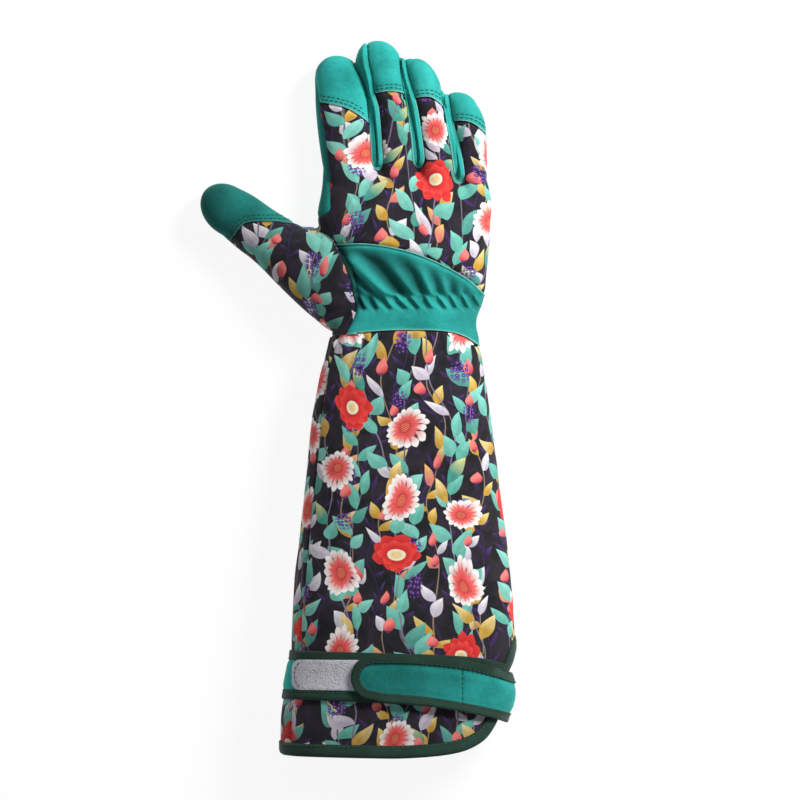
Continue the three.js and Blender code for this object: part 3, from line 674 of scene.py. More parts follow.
band = cutBy(hand, lambda s: s.band, lambda s: s.up, lambda s: -s.thumb, lambda s: s.hand).finer()
topGap = insideBy(band.x, band.y, belowBandTop)
bandSeam = np.minimum(band.up, -band.thumb)
# Distance from both edges of the band, for the painted edge highlight.
band.values["edge"] = np.minimum(band.hand, topGap)
height = rawLeather(bandSeam, band.hand, rows=(wristBand["hemRow"],))
height = height + wristBand["rim"] * bump(topGap, 0.3, 0.5)
height -= wristBand["grooveDepth"] * bump(topGap, wristBand["grooveAt"], 0.45) * (1 - ramp(band.x, 62, 70))
calm = ramp(np.minimum(bandSeam, band.hand), 0, 5)
waves, shade = gathers(band.x, band.y, topGap)
dark = wristBand["shade"]
# Painted shade in the folds, at the left end, near the seams on the left and in the groove.
band.values["tone"] = (shade * ramp(topGap, 1, 5) + dark["left"] * (1 - ramp(band.x, -12, 2))
                       + dark["side"] * (1 - ramp(bandSeam, 1, 7)) * (1 - ramp(band.x, 30, 50))
                       * ramp(band.y, 50, 58)
                       + dark["groove"] * bump(topGap, wristBand["grooveAt"], 0.5))
band.moved(height + waves * calm)
pieces["wrist_band"] = band
report("hand cut into pieces: " + ", ".join(f"{name} {len(skin.faces)}" for name, skin in pieces.items()))


# The long cuff: two printed cloths, joined along the thumb side and, above the vent, on the right.
cuffShape = dict(
    ends=(-218, 56), rowStep=1.5, angleStep=1.5,
    leftSeam=155.0,
    wave=1.8, waves=((0.7, 34.0, 21), (0.35, 15.0, 22)),  # soft folds: shares, sizes and seeds
    tied=0.12,  # the share of them that is left under the strap
    pucker=0.8, puckerPitch=1.4, puckerRun=9.0, puckerWander=2.2,  # gathers below the wrist band
    crinkle=0.32, crinkleSize=7.5,  # small creases
    clothInHem=1.2,  # the cloth's edge lies this far inside the hem's fold
    shade=0.3,  # the end of the cuff lies in the strap's shade
)
farOff = 40.0  # distances from the cuff's edge and side seam are worked out up to here


# Outward wave of the cloth at an angle and a place along the cuff. It dies out under the strap.
def drape(angle, y):
    places = np.stack(np.broadcast_arrays(np.asarray(angle, float) * 0.9, np.asarray(y, float) * 0.7), -1)
    wave = sum(share * softNoise(places, size, seed) for share, size, seed in cuffShape["waves"])
    free = ramp(y, -150, -120) * (1 - ramp(y, 10, 30))
    join = ramp(angle, 0, 25) * (1 - ramp(angle, 335, 360))
    return cuffShape["wave"] * wave * (cuffShape["tied"] + (1 - cuffShape["tied"]) * free) * join


def cuffPoints(angle, y, out=0.0):
    return bodyPoints(y, angle % 360, drape(angle % 360, y) + out)


def gridNormals(grid):
    normal = np.cross(np.gradient(grid, axis=0), np.gradient(grid, axis=1))
    return normal / np.maximum(np.linalg.norm(normal, axis=-1, keepdims=True), 1e-9)


# A sheet round the cuff on a grid of angles and places, at a distance out from the cloth.
def cuffSkin(angles, ys, out=0.0):
    grid = cuffPoints(angles[None, :], ys[:, None], out)
    steps = np.linalg.norm(np.diff(grid, axis=1), axis=2)
    arc = np.concatenate([np.zeros((len(ys), 1)), np.cumsum(steps, 1)], 1)
    arc = arc - arc[:, np.argmin(np.abs(angles - 90))][:, None]
    leftSeam = arc - arc[:, np.argmin(np.abs(angles - cuffShape["leftSeam"]))][:, None]
    sideSeam = np.minimum(arc - arc[:, :1], arc[:, -1:] - arc)
    angle, along = np.broadcast_arrays(angles[None, :], ys[:, None])
    values = dict(angle=angle, along=along, arc=arc, leftSeam=leftSeam, sideSeam=sideSeam)
    return Skin(grid.reshape(-1, 3), gridFaces(len(ys), len(angles))[:, ::-1],
                normal=gridNormals(grid).reshape(-1, 3),
                **{name: np.array(value).ravel() for name, value in values.items()})


def ventAngle(y):
    return np.where(y > ventTop, 0.0, smoothValue(ventRows, "y", "angle", y))


def hemPlace(angle):
    return np.interp(angle, hemRows["angle"], hemRows["y"])


# The closed edge of the cuff: along the back hem from the left, up the vent, down it and back.
def edgePath():
    hem = [(hemPlace(angle), angle) for angle in np.arange(180, 84, -2.0)]
    ys = np.concatenate([[-213.6, -212.8, -211.9], np.arange(-211, ventTop - 0.5, 1.2)])
    half = np.array(hem + [(y, max(float(ventAngle(y)), 0.6)) for y in ys])
    path = np.vstack([half, half[1:][::-1] * (1, -1)])
    for _ in range(2):
        path[1:-1] = (path[:-2] + 2 * path[1:-1] + path[2:]) / 4
    return path


cuffEdge = edgePath()


# Distance of the cuff's points from its edge, negative beyond it.
def fromEdge(skin):
    line = bodyPoints(cuffEdge[:, 0], cuffEdge[:, 1] % 360)
    low = skin.along < ventTop + 20
    points = skin.points[low]
    best = np.full(len(points), farOff)
    for a, b in zip(line, np.roll(line, -1, 0)):
        d = b - a
        t = np.clip(((points - a) @ d) / max(d @ d, 1e-9), 0, 1)
        best = np.minimum(best, np.linalg.norm(points - a - t[:, None] * d, axis=1))
    near = np.full(len(skin.points), farOff)
    near[low] = best
    angle = np.minimum(skin.angle, 360 - skin.angle)
    out = (skin.along < hemPlace(angle)) | ((skin.along < ventTop) & (angle < ventAngle(skin.along)))
    return np.where(out, -near, near)


cuff = cuffSkin(np.arange(0, 360.1, cuffShape["angleStep"]),
                np.arange(*cuffShape["ends"], cuffShape["rowStep"]))
cuff.values.update(hand=insideBy(cuff.x, cuff.y, handArea), edge=fromEdge(cuff))
below = -cuff.hand
wander = cuffShape["puckerWander"] * softNoise(cuff.arc[:, None], 17.0, 31)
puckers = np.sin(cuff.arc / cuffShape["puckerPitch"] + wander)
puckers = puckers * np.exp(-np.maximum(below, 0) / cuffShape["puckerRun"]) * ramp(below, 0, 3)
topSeam = np.where(cuff.along > ventTop, np.minimum(cuff.sideSeam, farOff), farOff)
crinkles = softNoise(np.stack([cuff.arc, cuff.along * 0.55], 1), cuffShape["crinkleSize"], 33)
crinkles = crinkles * (0.35 + 0.65 * ramp(cuff.along, -150, -125)) * ramp(cuff.edge, 6, 12)
cuff.moved(underLap(cuff.hand) + cuffShape["pucker"] * puckers + cuffShape["crinkle"] * crinkles
           + seamValley(np.minimum(np.abs(cuff.leftSeam), topSeam)))
cuff = cutBy(cuff, lambda s: sewing["lap"] - s.hand, lambda s: s.edge - cuffShape["clothInHem"])
# Painted shadow of the strap over the end of the cuff.
cuff.values["tone"] = cuffShape["shade"] * (1 - ramp(cuff.along, -190, -180)) * ramp(cuff.z, 10, 30)
pieces["sleeve_back"] = cuff.trimmed(-cuff.leftSeam)
pieces["sleeve_palm"] = cuff.trimmed(cuff.leftSeam)


def pointNormals(points, faces):
    a, b, c = (points[faces[:, i]] for i in range(3))
    normal = np.zeros_like(points)
    for i in range(3):
        np.add.at(normal, faces[:, i], np.cross(b - a, c - a))
    return normal / np.maximum(np.linalg.norm(normal, axis=1, keepdims=True), 1e-9)


# A profile swept along a closed or open row of places on the cuff. Profile points are how far in
# from the edge they lie, and how far out from the cloth.
def folded(path, profile, closed, flatter=0.0, wider=1.0):
    n = len(path)
    around = np.arange(n)
    if closed:
        before, after = path[(around - 1) % n], path[(around + 1) % n]
    else:
        before, after = path[np.maximum(around - 1, 0)], path[np.minimum(around + 1, n - 1)]
    y, angle = path.T
    nextTo = bodyPoints(y, (angle + 0.5) % 360) - bodyPoints(y, (angle - 0.5) % 360)
    perMm = 1 / np.maximum(np.linalg.norm(nextTo, axis=1), 0.2)
    turn = (after[:, 1] - before[:, 1] + 180) % 360 - 180
    alongY, alongArc = after[:, 0] - before[:, 0], turn / perMm
    length = np.hypot(alongY, alongArc)
    inwards = np.array([p[0] for p in profile])[None, :] * np.reshape(wider, (-1, 1))
    out = np.array([p[1] for p in profile])[None, :] * (1 - np.reshape(flatter, (-1, 1)))
    ys = y[:, None] - (alongArc / length)[:, None] * inwards
    turns = angle[:, None] + (alongY / length * perMm)[:, None] * inwards
    return cuffPoints(turns, ys, out)


cuffMiddle = np.array([22.0, -185.0, 26.0])


# Painted shade along both edges of a folded tape, where it turns over.
def tapeShade(place, wide):
    return 0.5 * (1 - ramp(np.minimum(place, wide - place), 0.2, 1.8))


def sweptSkin(path, profile, closed=False, flatter=0.0, wider=1.0):
    grid = folded(path, profile, closed, flatter, wider)
    rows, across = grid.shape[:2]
    faces = gridFaces(rows + closed, across)
    points = grid.reshape(-1, 3)
    if closed:
        faces = faces % len(points)
    inwards, out = np.tile(profile, (rows, 1)).T
    # The side that shows above the cloth has to face away from the middle of the cuff.
    a, b, c = (points[faces[:, i]] - cuffMiddle for i in range(3))
    upper = out[faces].min(1) > 0
    if (np.cross(b - a, c - a) * a)[upper].sum() < 0:
        faces = faces[:, ::-1]
    steps = np.concatenate([[0], np.cumsum(np.linalg.norm(np.diff(grid[:, 0], axis=0), axis=1))])
    return Skin(points, faces, inwards=inwards, out=out, run=np.repeat(steps, across),
                normal=pointNormals(points, faces), tone=tapeShade(inwards, max(p[0] for p in profile)))


# Binding folded over the mouth of the cuff and both sides of the vent.
hemTape = dict(
    fold=[(7.0, 0.3), (6.7, 0.75), (5.6, 1.0), (3.4, 1.1), (1.2, 1.05), (-0.1, 0.7), (-0.75, -0.1),
          (-0.85, -0.9), (-0.5, -1.8), (0.6, -2.4), (3.0, -2.6), (5.6, -2.5), (6.8, -2.2), (7.0, -1.9)],
    wider=0.45,  # along the vent
    wall=0.35,
    sewnAt=6.0,
)
ventWide = 1 + hemTape["wider"] * ramp(cuffEdge[:, 0], -190, -172) * (cuffEdge[:, 1] > 0)
pieces["hem_binding"] = sweptSkin(cuffEdge, hemTape["fold"][::-1], closed=True, wider=ventWide)

# Leather band round the cuff.
cuffBand = dict(
    out=1.8, wall=1.3,
    low=columns("angle y", [
        (0, -190), (10, -190), (45, -187), (90, -182), (130, -180), (180, -179.4), (360, -180)]),
    high=columns("angle y", [
        (0, -162.8), (10, -161.6), (22, -159.6), (40, -156.4), (60, -154.2), (90, -152.6),
        (130, -151.4), (180, -150.8), (260, -151.5), (360, -153)]),
    hemRoom=7.6,  # it ends this far from the cuff's edge
    swell=0.35, sink=0.25,  # between its bindings, and all over
    tight=0.5,  # under its bindings on the thumb side
    inTape=0.6,
)
# Binding folded over both its edges.
bandTape = dict(
    fold=[(0.3, 0.3), (-0.2, 0.7), (-0.35, 1.4), (-0.05, 2.05), (0.8, 2.4), (2.7, 2.5), (4.6, 2.4),
          (5.45, 2.15), (5.6, 1.75)],
    width=5.6, wall=0.3,
    flatter=0.44,  # on the thumb side
    sewnAt=4.7,
)


def steps(low, high, size):
    return np.linspace(low, high, max(int(round((high - low) / size)), 1) + 1)


def bandPlace(which, angle):
    return smoothValue(cuffBand[which], "angle", "y", np.asarray(angle, float))


# On the thumb side the band is pulled tight, and its bindings lie flat.
def tightSide(angle):
    return ramp(angle, 150, 170) * (1 - ramp(angle, 190, 212))


ring = cuffSkin(np.arange(9, 351.1, 1.5), steps(-193, -149, 1.1), cuffBand["out"])
ring.values["edge"] = fromEdge(ring)
ring.values["inner"] = np.minimum(ring.along - bandPlace("low", ring.angle),
                                  bandPlace("high", ring.angle) - ring.along)
offTape = ring.inner - bandTape["width"]
ring.moved(cuffBand["swell"] * ramp(offTape, -0.5, 3.5) - cuffBand["sink"]
           - cuffBand["tight"] * tightSide(ring.angle) * (1 - ramp(offTape, -0.5, 2.5)))
pieces["cuff_band"] = cutBy(ring, lambda s: s.edge - cuffBand["hemRoom"],
                            lambda s: s.inner - cuffBand["inTape"])


def ringPath(which, forwards):
    turns = np.arange(1, 359.1, 0.5)
    path = Skin(bodyPoints(bandPlace(which, turns), turns), np.zeros((0, 3)), angle=turns,
                along=bandPlace(which, turns))
    turns = turns[fromEdge(path) > cuffBand["hemRoom"]]
    turns = np.linspace(turns[0], turns[-1], 240)
    turns = turns if forwards else turns[::-1]
    return np.stack([bandPlace(which, turns), turns], 1)


for name, forwards in (("low", False), ("high", True)):
    path = ringPath(name, forwards)
    flatter = bandTape["flatter"] * tightSide(path[:, 1])
    pieces[f"band_binding_{name}"] = sweptSkin(path, bandTape["fold"], flatter=flatter)

# Patch of loops on the band's back. An arc of stitches holds its left end, and the loops stop there.
patchLook = dict(
    left=-40.4, right=3.0, low=-174.2, high=-156.0, corner=5.0,
    out=3.1, wall=0.8,
    edgeDrop=0.3, edgeOver=0.6,
    arcAt=1.9, arcBend=0.055, arcDrop=0.25,
    cut=(47.5, 18.2),
)


def patchOutline():
    look, corner = patchLook, patchLook["corner"]
    turn = np.radians(np.linspace(90, 180, 10))
    across, up = corner * (1 + np.cos(turn)), corner * (1 - np.sin(turn))
    upper = np.stack([look["left"] + across, look["high"] - up], 1)
    lower = np.stack([look["left"] + across, look["low"] + up], 1)[::-1]
    return np.vstack([[(look["right"], look["high"])], upper, lower, [(look["right"], look["low"])]])


loops = cuffSkin(np.arange(60, 175, 0.8), steps(-180, -152, 0.8), patchLook["out"])
loops.values["edge"] = insideBy(loops.x, loops.y, patchOutline())
loops = loops.trimmed(loops.edge)
fromMiddle = loops.y - (patchLook["low"] + patchLook["high"]) / 2
loops.values["arc"] = loops.x - patchLook["left"] - patchLook["arcAt"] - patchLook["arcBend"] * fromMiddle**2
loops.values["tone"] = ramp(-loops.arc, 0.2, 0.8)
loops.moved(-patchLook["edgeDrop"] * np.exp(-loops.edge / patchLook["edgeOver"])
            - patchLook["arcDrop"] * loops.tone)
pieces["loop_patch"] = loops

# Strap that closes over the patch, with a binding round its edge.
strapShape = dict(
    rows=columns("x low high", [
        (-4.5, -180.2, -152.8), (25, -182.3, -152.6), (43, -184.0, -153.7), (62, -187.2, -155.8),
        (80, -190.8, -159.8), (92, -194.0, -164.2), (102, -196.5, -167.6)]),
    out=5.1, wall=1.5,
    lowest=9.0,  # the level at which it goes in under the cuff's right side
    settled=1.1,  # how far it settles at its lower right corner
    sideSwell=1.5, upperHug=4.0, lowerHug=2.2,  # where it turns round the side
    inTape=1.0,
    puff=0.5, sink=0.2,  # its leather between the bindings, and all over
    seam=62.3, seamDepth=0.45,
    shade=0.6, shadeLoss=0.37,
    tapeWall=1.6, tapeRound=0.62, tapeLift=0.1,
    tapeSewnAt=4.8,
)
unseen = 99.0  # an edge distance at which leather shows no painted highlight along a raw edge


# Outline of the strap from above, with its round end.
def strapOutline():
    rows = strapShape["rows"]
    low, high = rows["low"][0], rows["high"][0]
    radius, middle = (high - low) / 2, (high + low) / 2
    centre = rows["x"][0] + radius
    turn = np.radians(np.linspace(90, 270, 40))
    end = np.stack([centre + radius * np.cos(turn), middle + radius * np.sin(turn)], 1)
    xs = np.arange(centre + 4, 131, 4.0)
    lower, upper = (np.stack([xs, smoothValue(rows, "x", name, xs)], 1) for name in ("low", "high"))
    return np.vstack([end, lower, upper[::-1]])


strap = cuffSkin(np.arange(-75, 125, 0.45), steps(-204, -146, 0.75), strapShape["out"])
strap.values.update(edge=insideBy(strap.x, strap.y, strapOutline()), level=strap.z - strapShape["lowest"])
strap = cutBy(strap, lambda s: s.edge, lambda s: s.level)
strap.moved(-strapShape["settled"] * ramp(-strap.y, 178, 192) * ramp(strap.x, 50, 86))
# Where it turns round the side it swells along its middle, and both edges hug the cuff.
strap.moved(ramp(strap.x, 80, 91) * (strapShape["sideSwell"] * bump(strap.y, -177, 8)
                                     - strapShape["upperHug"] * ramp(strap.y, -171, -162)
                                     - strapShape["lowerHug"] * ramp(-strap.y, 184, 195)))
strapLeather = strap.trimmed(strap.edge - bandTape["width"] + strapShape["inTape"])
strapInner = strapLeather.edge - bandTape["width"]
# Painted shade on the strap, darker towards its round end.
strapLeather.values["tone"] = strapShape["shade"] - strapShape["shadeLoss"] * ramp(strapLeather.x, 10, 92)
strapLeather.moved(strapShape["puff"] * ramp(strapInner, 0, 4.5) - strapShape["sink"]
                   - strapShape["seamDepth"] * bump(strapLeather.x, strapShape["seam"], 0.7))
strapLeather.values["seam"] = strapLeather.x - strapShape["seam"]
strapLeather.values["edge"] = np.full(len(strapLeather.points), unseen)
pieces["strap"] = strapLeather
strapTape = strap.trimmed(bandTape["width"] - strap.edge)
across = strapTape.edge / bandTape["width"]
strapTape.moved(strapShape["tapeLift"]
                + strapShape["tapeRound"] * np.sqrt(np.maximum(1 - (2 * across - 1) ** 4, 0)))
# Painted shade along both edges of the strap's binding.
strapTape.values["tone"] = tapeShade(strapTape.edge, bandTape["width"])
pieces["strap_binding"] = strapTape
report("cuff and closure: " + ", ".join(f"{n} {len(p.faces)}" for n, p in list(pieces.items())[-9:]))


# Rows of stitches. A row runs where a field on a skin has one value.
stitchLook = dict(
    length=2.2, gap=0.75, radius=0.27, sides=5,
    lift=0.24,  # greatest height of a stitch's middle above the leather
    shape=((0.0, -0.22, 0.45), (0.14, 0.5, 0.9), (0.5, 1.0, 1.0), (0.86, 0.5, 0.9), (1.0, -0.22, 0.45)),
)


def levelLines(skin, field, level):
    side = field > level
    count = side[skin.faces].sum(1)
    mixed = skin.faces[(count == 1) | (count == 2)]
    odd = side[mixed].sum(1) == 1
    first = np.argmax(side[mixed] == odd[:, None], 1)
    corners = np.take_along_axis(mixed, (first[:, None] + np.arange(3)) % 3, 1)
    edges = np.sort(np.concatenate([corners[:, [0, 1]], corners[:, [0, 2]]]), 1)
    keys, where = np.unique(edges, axis=0, return_inverse=True)
    a, b = keys.T
    share = ((level - field[a]) / (field[b] - field[a]))[:, None]
    points = skin.points[a] + (skin.points[b] - skin.points[a]) * share
    normals = skin.normal[a] + (skin.normal[b] - skin.normal[a]) * share
    near = [[] for _ in keys]
    for p, q in zip(*np.split(where.ravel(), 2)):
        near[p].append(q)
        near[q].append(p)
    unused = set(range(len(keys)))
    for start in sorted(range(len(keys)), key=lambda k: len(near[k])):
        line = []
        while start in unused:
            unused.discard(start)
            line.append(start)
            start = next((q for q in near[start] if q in unused), start)
        if len(line) > 5:
            yield points[line], normals[line]


# Stitches along a row of points, as one mesh; each is a short rope that dips in at both ends.
def stitchesAlong(points, normals):
    look = stitchLook
    for _ in range(3):
        points = np.vstack([points[:1], (points[:-2] + 2 * points[1:-1] + points[2:]) / 4, points[-1:]])
    run = np.concatenate([[0], np.cumsum(np.linalg.norm(np.diff(points, axis=0), axis=1))])
    pitch = look["length"] + look["gap"]
    count = int((run[-1] - 0.8) / pitch)

    def at(places, values):
        return np.stack([np.interp(places, run, values[:, i]) for i in range(3)], -1)

    starts = (run[-1] - count * pitch + look["gap"]) / 2 + pitch * np.arange(count)
    turn = np.arange(look["sides"]) * 2 * np.pi / look["sides"]
    for start in starts:
        rings = []
        for share, lift, thick in look["shape"]:
            place = start + share * look["length"]
            middle, up = at(place, points), at(place, normals)
            along = at(place + 0.2, points) - at(place - 0.2, points)
            up = up / np.linalg.norm(up)
            across = np.cross(along, up)
            across = across / np.linalg.norm(across)
            ring = np.cos(turn)[:, None] * across + np.sin(turn)[:, None] * up
            rings.append(middle + up * lift * look["lift"] + ring * thick * look["radius"])
        yield tubeMesh(np.array(rings))


def stitchRow(skin, field, level):
    return [mesh for line in levelLines(skin, field, level) for mesh in stitchesAlong(*line)]


def only(skin, keep):
    return skin.kept(skin.faces[keep[skin.faces].all(1)])


stitches = dict(capRows=[], closureRows=[], tapeRows=[], thumbRow=[])
for name, line in {**capLines, "thumb": thumbCapLine}.items():
    cap = pieces[f"{name}_cap"]
    if name == "thumb":
        side, ends = cap.thumbUp, np.full(len(cap.x), unseen)
    else:
        side, ends = capSeam(cap), np.minimum(cap.x - line[0][0], line[-1][0] - cap.x)
    cap = only(cap, (side > 0.6) & (ends > cap.edge + 0.4))
    for level in sewing["rows"]:
        stitches["capRows"] += stitchRow(cap, cap.edge, level)
sewn = only(strapLeather, (strapLeather.level > 3) & (strapInner > -0.5))
stitches["closureRows"] += stitchRow(sewn, sewn.seam, 0.0)
sewn = only(loops, loops.edge > 0.5)
stitches["closureRows"] += stitchRow(sewn, sewn.arc, 0.0)
for name, look in (("hem_binding", hemTape), ("band_binding_low", bandTape),
                   ("band_binding_high", bandTape)):
    sewn = only(pieces[name], pieces[name].out > 0.6)
    stitches["tapeRows"] += stitchRow(sewn, sewn.inwards, look["sewnAt"])
stitches["tapeRows"] += stitchRow(strapTape, strapTape.edge, strapShape["tapeSewnAt"])
sewn = only(thumbBack, (thumbBack.y > 89) & (thumbBack.thumbUp > 1))
stitches["thumbRow"] += stitchRow(sewn, sewn.thumb, 0.5)
report(", ".join(f"{name} {len(parts)} stitches" for name, parts in stitches.items()))


# Finishes. A wire is one socket of a shader, and sums on wires add their nodes.
def paint(red, green, blue):
    return tuple(((c / 255 + 0.055) / 1.055) ** 2.4 if c > 10 else c / 255 / 12.92
                 for c in (red, green, blue)) + (1.0,)


def grey(level):
    return (level, level, level, 1.0)


class Wire:
    def __init__(self, finish, socket):
        self.finish, self.socket = finish, socket

    def out(self, name):
        return Wire(self.finish, self.socket.node.outputs[name])

    def maths(self, operation, *values, clamp=False):
        return self.finish.node("ShaderNodeMath", {"operation": operation, "use_clamp": clamp},
                                dict(enumerate(values)))

    def __add__(self, other):
        return self.maths("ADD", self, other)

    def __radd__(self, other):
        return self.maths("ADD", other, self)

    def __sub__(self, other):
        return self.maths("SUBTRACT", self, other)

    def __rsub__(self, other):
        return self.maths("SUBTRACT", other, self)

    def __mul__(self, other):
        return self.maths("MULTIPLY", self, other)

    def __rmul__(self, other):
        return self.maths("MULTIPLY", other, self)

    def __truediv__(self, other):
        return self.maths("DIVIDE", self, other)

    def __pow__(self, other):
        return self.maths("POWER", self, other)

    def __mod__(self, other):
        return self.maths("FLOORED_MODULO", self, other)

    def __abs__(self):
        return self.maths("ABSOLUTE", self)

    def __lt__(self, other):
        return self.maths("LESS_THAN", self, other)

    def __gt__(self, other):
        return self.maths("GREATER_THAN", self, other)

    def floor(self):
        return self.maths("FLOOR", self)

    def sine(self):
        return self.maths("SINE", self)

    def cosine(self):
        return self.maths("COSINE", self)

    def most(self, other):
        return self.maths("MAXIMUM", self, other)

    # From 0 to 1 as the value passes zero, over a width; over() starts at zero.
    def step(self, width):
        return self.maths("MULTIPLY_ADD", self, 1 / width, 0.5, clamp=True)

    def over(self, width):
        return self.maths("MULTIPLY", self, 1 / width, clamp=True)


class Finish:
    def __init__(self, name):
        self.material = bpy.data.materials.new(name)
        self.material.use_nodes = True
        self.tree = self.material.node_tree
        self.tree.nodes.clear()

    def node(self, kind, settings=None, sockets=None, out=0):
        made = self.tree.nodes.new(kind)
        for key, value in (settings or {}).items():
            if key == "stops":
                stops = made.color_ramp.elements
                while len(stops) < len(value):
                    stops.new(0.5)
                for stop, (place, colour) in zip(stops, value):
                    stop.position, stop.color = place, colour
            elif key == "interpolation":
                made.color_ramp.interpolation = value
            else:
                setattr(made, key, value)
        for key, value in (sockets or {}).items():
            if isinstance(value, Wire):
                self.tree.links.new(value.socket, made.inputs[key])
            else:
                made.inputs[key].default_value = value
        return Wire(self, made.outputs[out]) if made.outputs else None

    def mix(self, share, first, second, blend="MIX"):
        return self.node("ShaderNodeMix", {"data_type": "RGBA", "blend_type": blend},
                         {0: share, 6: first, 7: second}, out=2)

    # A colour for each stretch of a value, or colours that run into each other.
    def picked(self, value, stops, interpolation="CONSTANT"):
        return self.node("ShaderNodeValToRGB", {"interpolation": interpolation, "stops": stops}, {0: value})

    def blended(self, value, *stops):
        return self.picked(value, stops, "LINEAR")

    # The colour made darker and lighter as a value goes from low to high.
    def mottled(self, colour, value, low, high, dark, light):
        return self.mix(1.0, colour, self.blended(value, (low, grey(dark)), (high, grey(light))), "MULTIPLY")

    # Three chances from 0 to 1 that belong to whole numbers.
    def chances(self, *numbers):
        place = self.node("ShaderNodeCombineXYZ", None, dict(enumerate(numbers)))
        noise = self.node("ShaderNodeTexWhiteNoise", {"noise_dimensions": "3D"}, {"Vector": place}, out=1)
        parts = self.node("ShaderNodeSeparateColor", None, {0: noise})
        return parts, parts.out("Green"), parts.out("Blue")

    def noise(self, vector, scale, detail=2.0, rough=0.5):
        return self.node("ShaderNodeTexNoise", None, {"Vector": vector, "Scale": scale, "Detail": detail,
                                                      "Roughness": rough})

    def value(self, name):
        return self.node("ShaderNodeAttribute", {"attribute_name": name}, out="Fac")

    def place(self):
        return self.node("ShaderNodeTexCoord", out="Object")

    def bump(self, height, distance):
        return self.node("ShaderNodeBump", None,
                         {"Height": height, "Distance": distance * mm, "Strength": 1.0})

    def close(self, **sockets):
        return self.shown(self.node("ShaderNodeBsdfPrincipled", None,
                                    {key.replace("_", " "): value for key, value in sockets.items()}))

    def shown(self, shader):
        self.node("ShaderNodeOutputMaterial", None, {0: shader})
        return self.material


# Printed cloth: dark ground with leaves on stems, buds, berries and two kinds of flower.
# Sizes are millimetres on the cloth. Leaves hang on their column's stem, other motifs keep to a cell.
turnRound = 2 * math.pi
softEdge = 0.3
printLook = dict(
    ground=(paint(24, 24, 28), paint(44, 38, 48)),
    drift=dict(size=44.0, reach=11.0),  # how the whole pattern wanders over the cloth
    leafLayers=[  # ferns, sprigs, leaves and sprays; a colour's row has its chance, foot and tip
        dict(start=(5.0, 0.0), soft=0.5, column=17.0, spacing=4.4, sway=3.2, wave=57.0, length=9.6,
             width=2.6, lean=0.8, curl=2.0, keep=0.75, seed=3, stem=0.3, stemTint=paint(58, 40, 84),
             colours=[(0.0, paint(48, 28, 74), paint(88, 58, 128)),
                      (0.5, paint(62, 34, 92), paint(72, 42, 100)),
                      (0.8, paint(36, 28, 52), paint(60, 44, 80))]),
        dict(start=(13.0, 4.0), column=27.0, spacing=9.0, sway=3.5, wave=83.0, length=13.5, width=6.4,
             lean=0.62, curl=9.0, keep=0.72, seed=11, stem=0.34, stemTint=paint(150, 128, 104),
             colours=[(0.0, paint(206, 158, 58), paint(246, 222, 140)),
                      (0.40, paint(206, 200, 214), paint(248, 244, 246)),
                      (0.72, paint(222, 128, 112), paint(244, 196, 120)),
                      (0.84, paint(196, 150, 66), paint(240, 226, 170))]),
        dict(start=(0.0, 0.0), column=33.0, spacing=9.2, sway=3.6, wave=101.0, length=17.0, width=7.6,
             lean=0.66, curl=10.0, keep=0.86, seed=23, stem=0.42, stemTint=paint(104, 100, 112),
             colours=[(0.0, paint(100, 182, 164), paint(128, 206, 192)),
                      (0.55, paint(122, 200, 184), paint(152, 220, 206)),
                      (0.85, paint(80, 156, 142), paint(108, 184, 168))]),
        dict(start=(21.0, 0.0), tilt=0.16, column=39.0, spacing=12.5, sway=4.0, wave=127.0, length=19.0,
             width=8.0, lean=0.6, curl=12.0, keep=0.8, seed=37, stem=0.4, stemTint=paint(128, 118, 140),
             colours=[(0.0, paint(112, 190, 174), paint(136, 216, 200)),
                      (0.42, paint(208, 196, 214), paint(250, 246, 248)),
                      (0.66, paint(204, 162, 70), paint(246, 226, 160)),
                      (0.86, paint(70, 156, 140), paint(226, 220, 150))]),
    ],
    leafShade=paint(28, 58, 62), leafShadeShare=0.16,  # on one side of the midrib
    buds=dict(wide=25.0, high=22.0, wander=9.0, start=(9.0, 3.0), size=9.0, width=6.6, seed=5, keep=0.62,
              tint=paint(206, 66, 78), tip=paint(246, 132, 126), cup=paint(92, 62, 96)),
    berries=dict(wide=36.0, high=29.0, wander=12.0, start=(3.0, 11.0), size=6.0, seed=6, keep=0.62,
                 beads=0.42, tint=paint(84, 46, 132), shine=paint(168, 136, 200)),
    flowers=dict(wide=38.0, high=37.0, wander=11.0, seed=8, pale=0.40, rich=0.66),
    # Petals stand in rings from one radius to another. A ring is turned by a share of a petal, and
    # its petals fade from tint to tip at one share of their length and over another.
    paleRings=[
        dict(count=17.0, inner=1.0, outer=12.4, width=1.95, shift=0.0, soft=0.3, blunt=3.0,
             fade=(0.62, 0.4), tint=paint(236, 128, 126), tip=paint(248, 242, 240)),
        dict(count=17.0, inner=0.3, outer=8.4, width=1.3, shift=0.5, soft=0.5, blunt=1.3,
             fade=(0.5833, 0.8333), tint=paint(216, 46, 58), tip=paint(246, 124, 116)),
    ],
    paleHeart=dict(radius=3.0, tint=paint(196, 40, 54), dotRadius=2.6, dots=5.2,
                   dotTint=paint(248, 180, 120)),
    richRings=[
        dict(count=9.0, inner=1.0, outer=13.2, width=4.2, shift=0.21, soft=0.3, blunt=2.4, fade=(0.7, 0.7),
             tint=paint(186, 26, 38), tip=paint(234, 62, 56)),
        dict(count=9.0, inner=0.5, outer=10.4, width=3.2, shift=0.71, soft=0.3, blunt=2.0, fade=(0.66, 0.7),
             tint=paint(202, 32, 40), tip=paint(244, 76, 66)),
    ],
    richHeart=dict(radius=4.3, flat=1.5, tint=paint(247, 238, 206), ringAt=1.4, ring=2.4, ringEnd=3.0,
                   ringShare=0.7, ringTint=paint(240, 196, 104)),
)


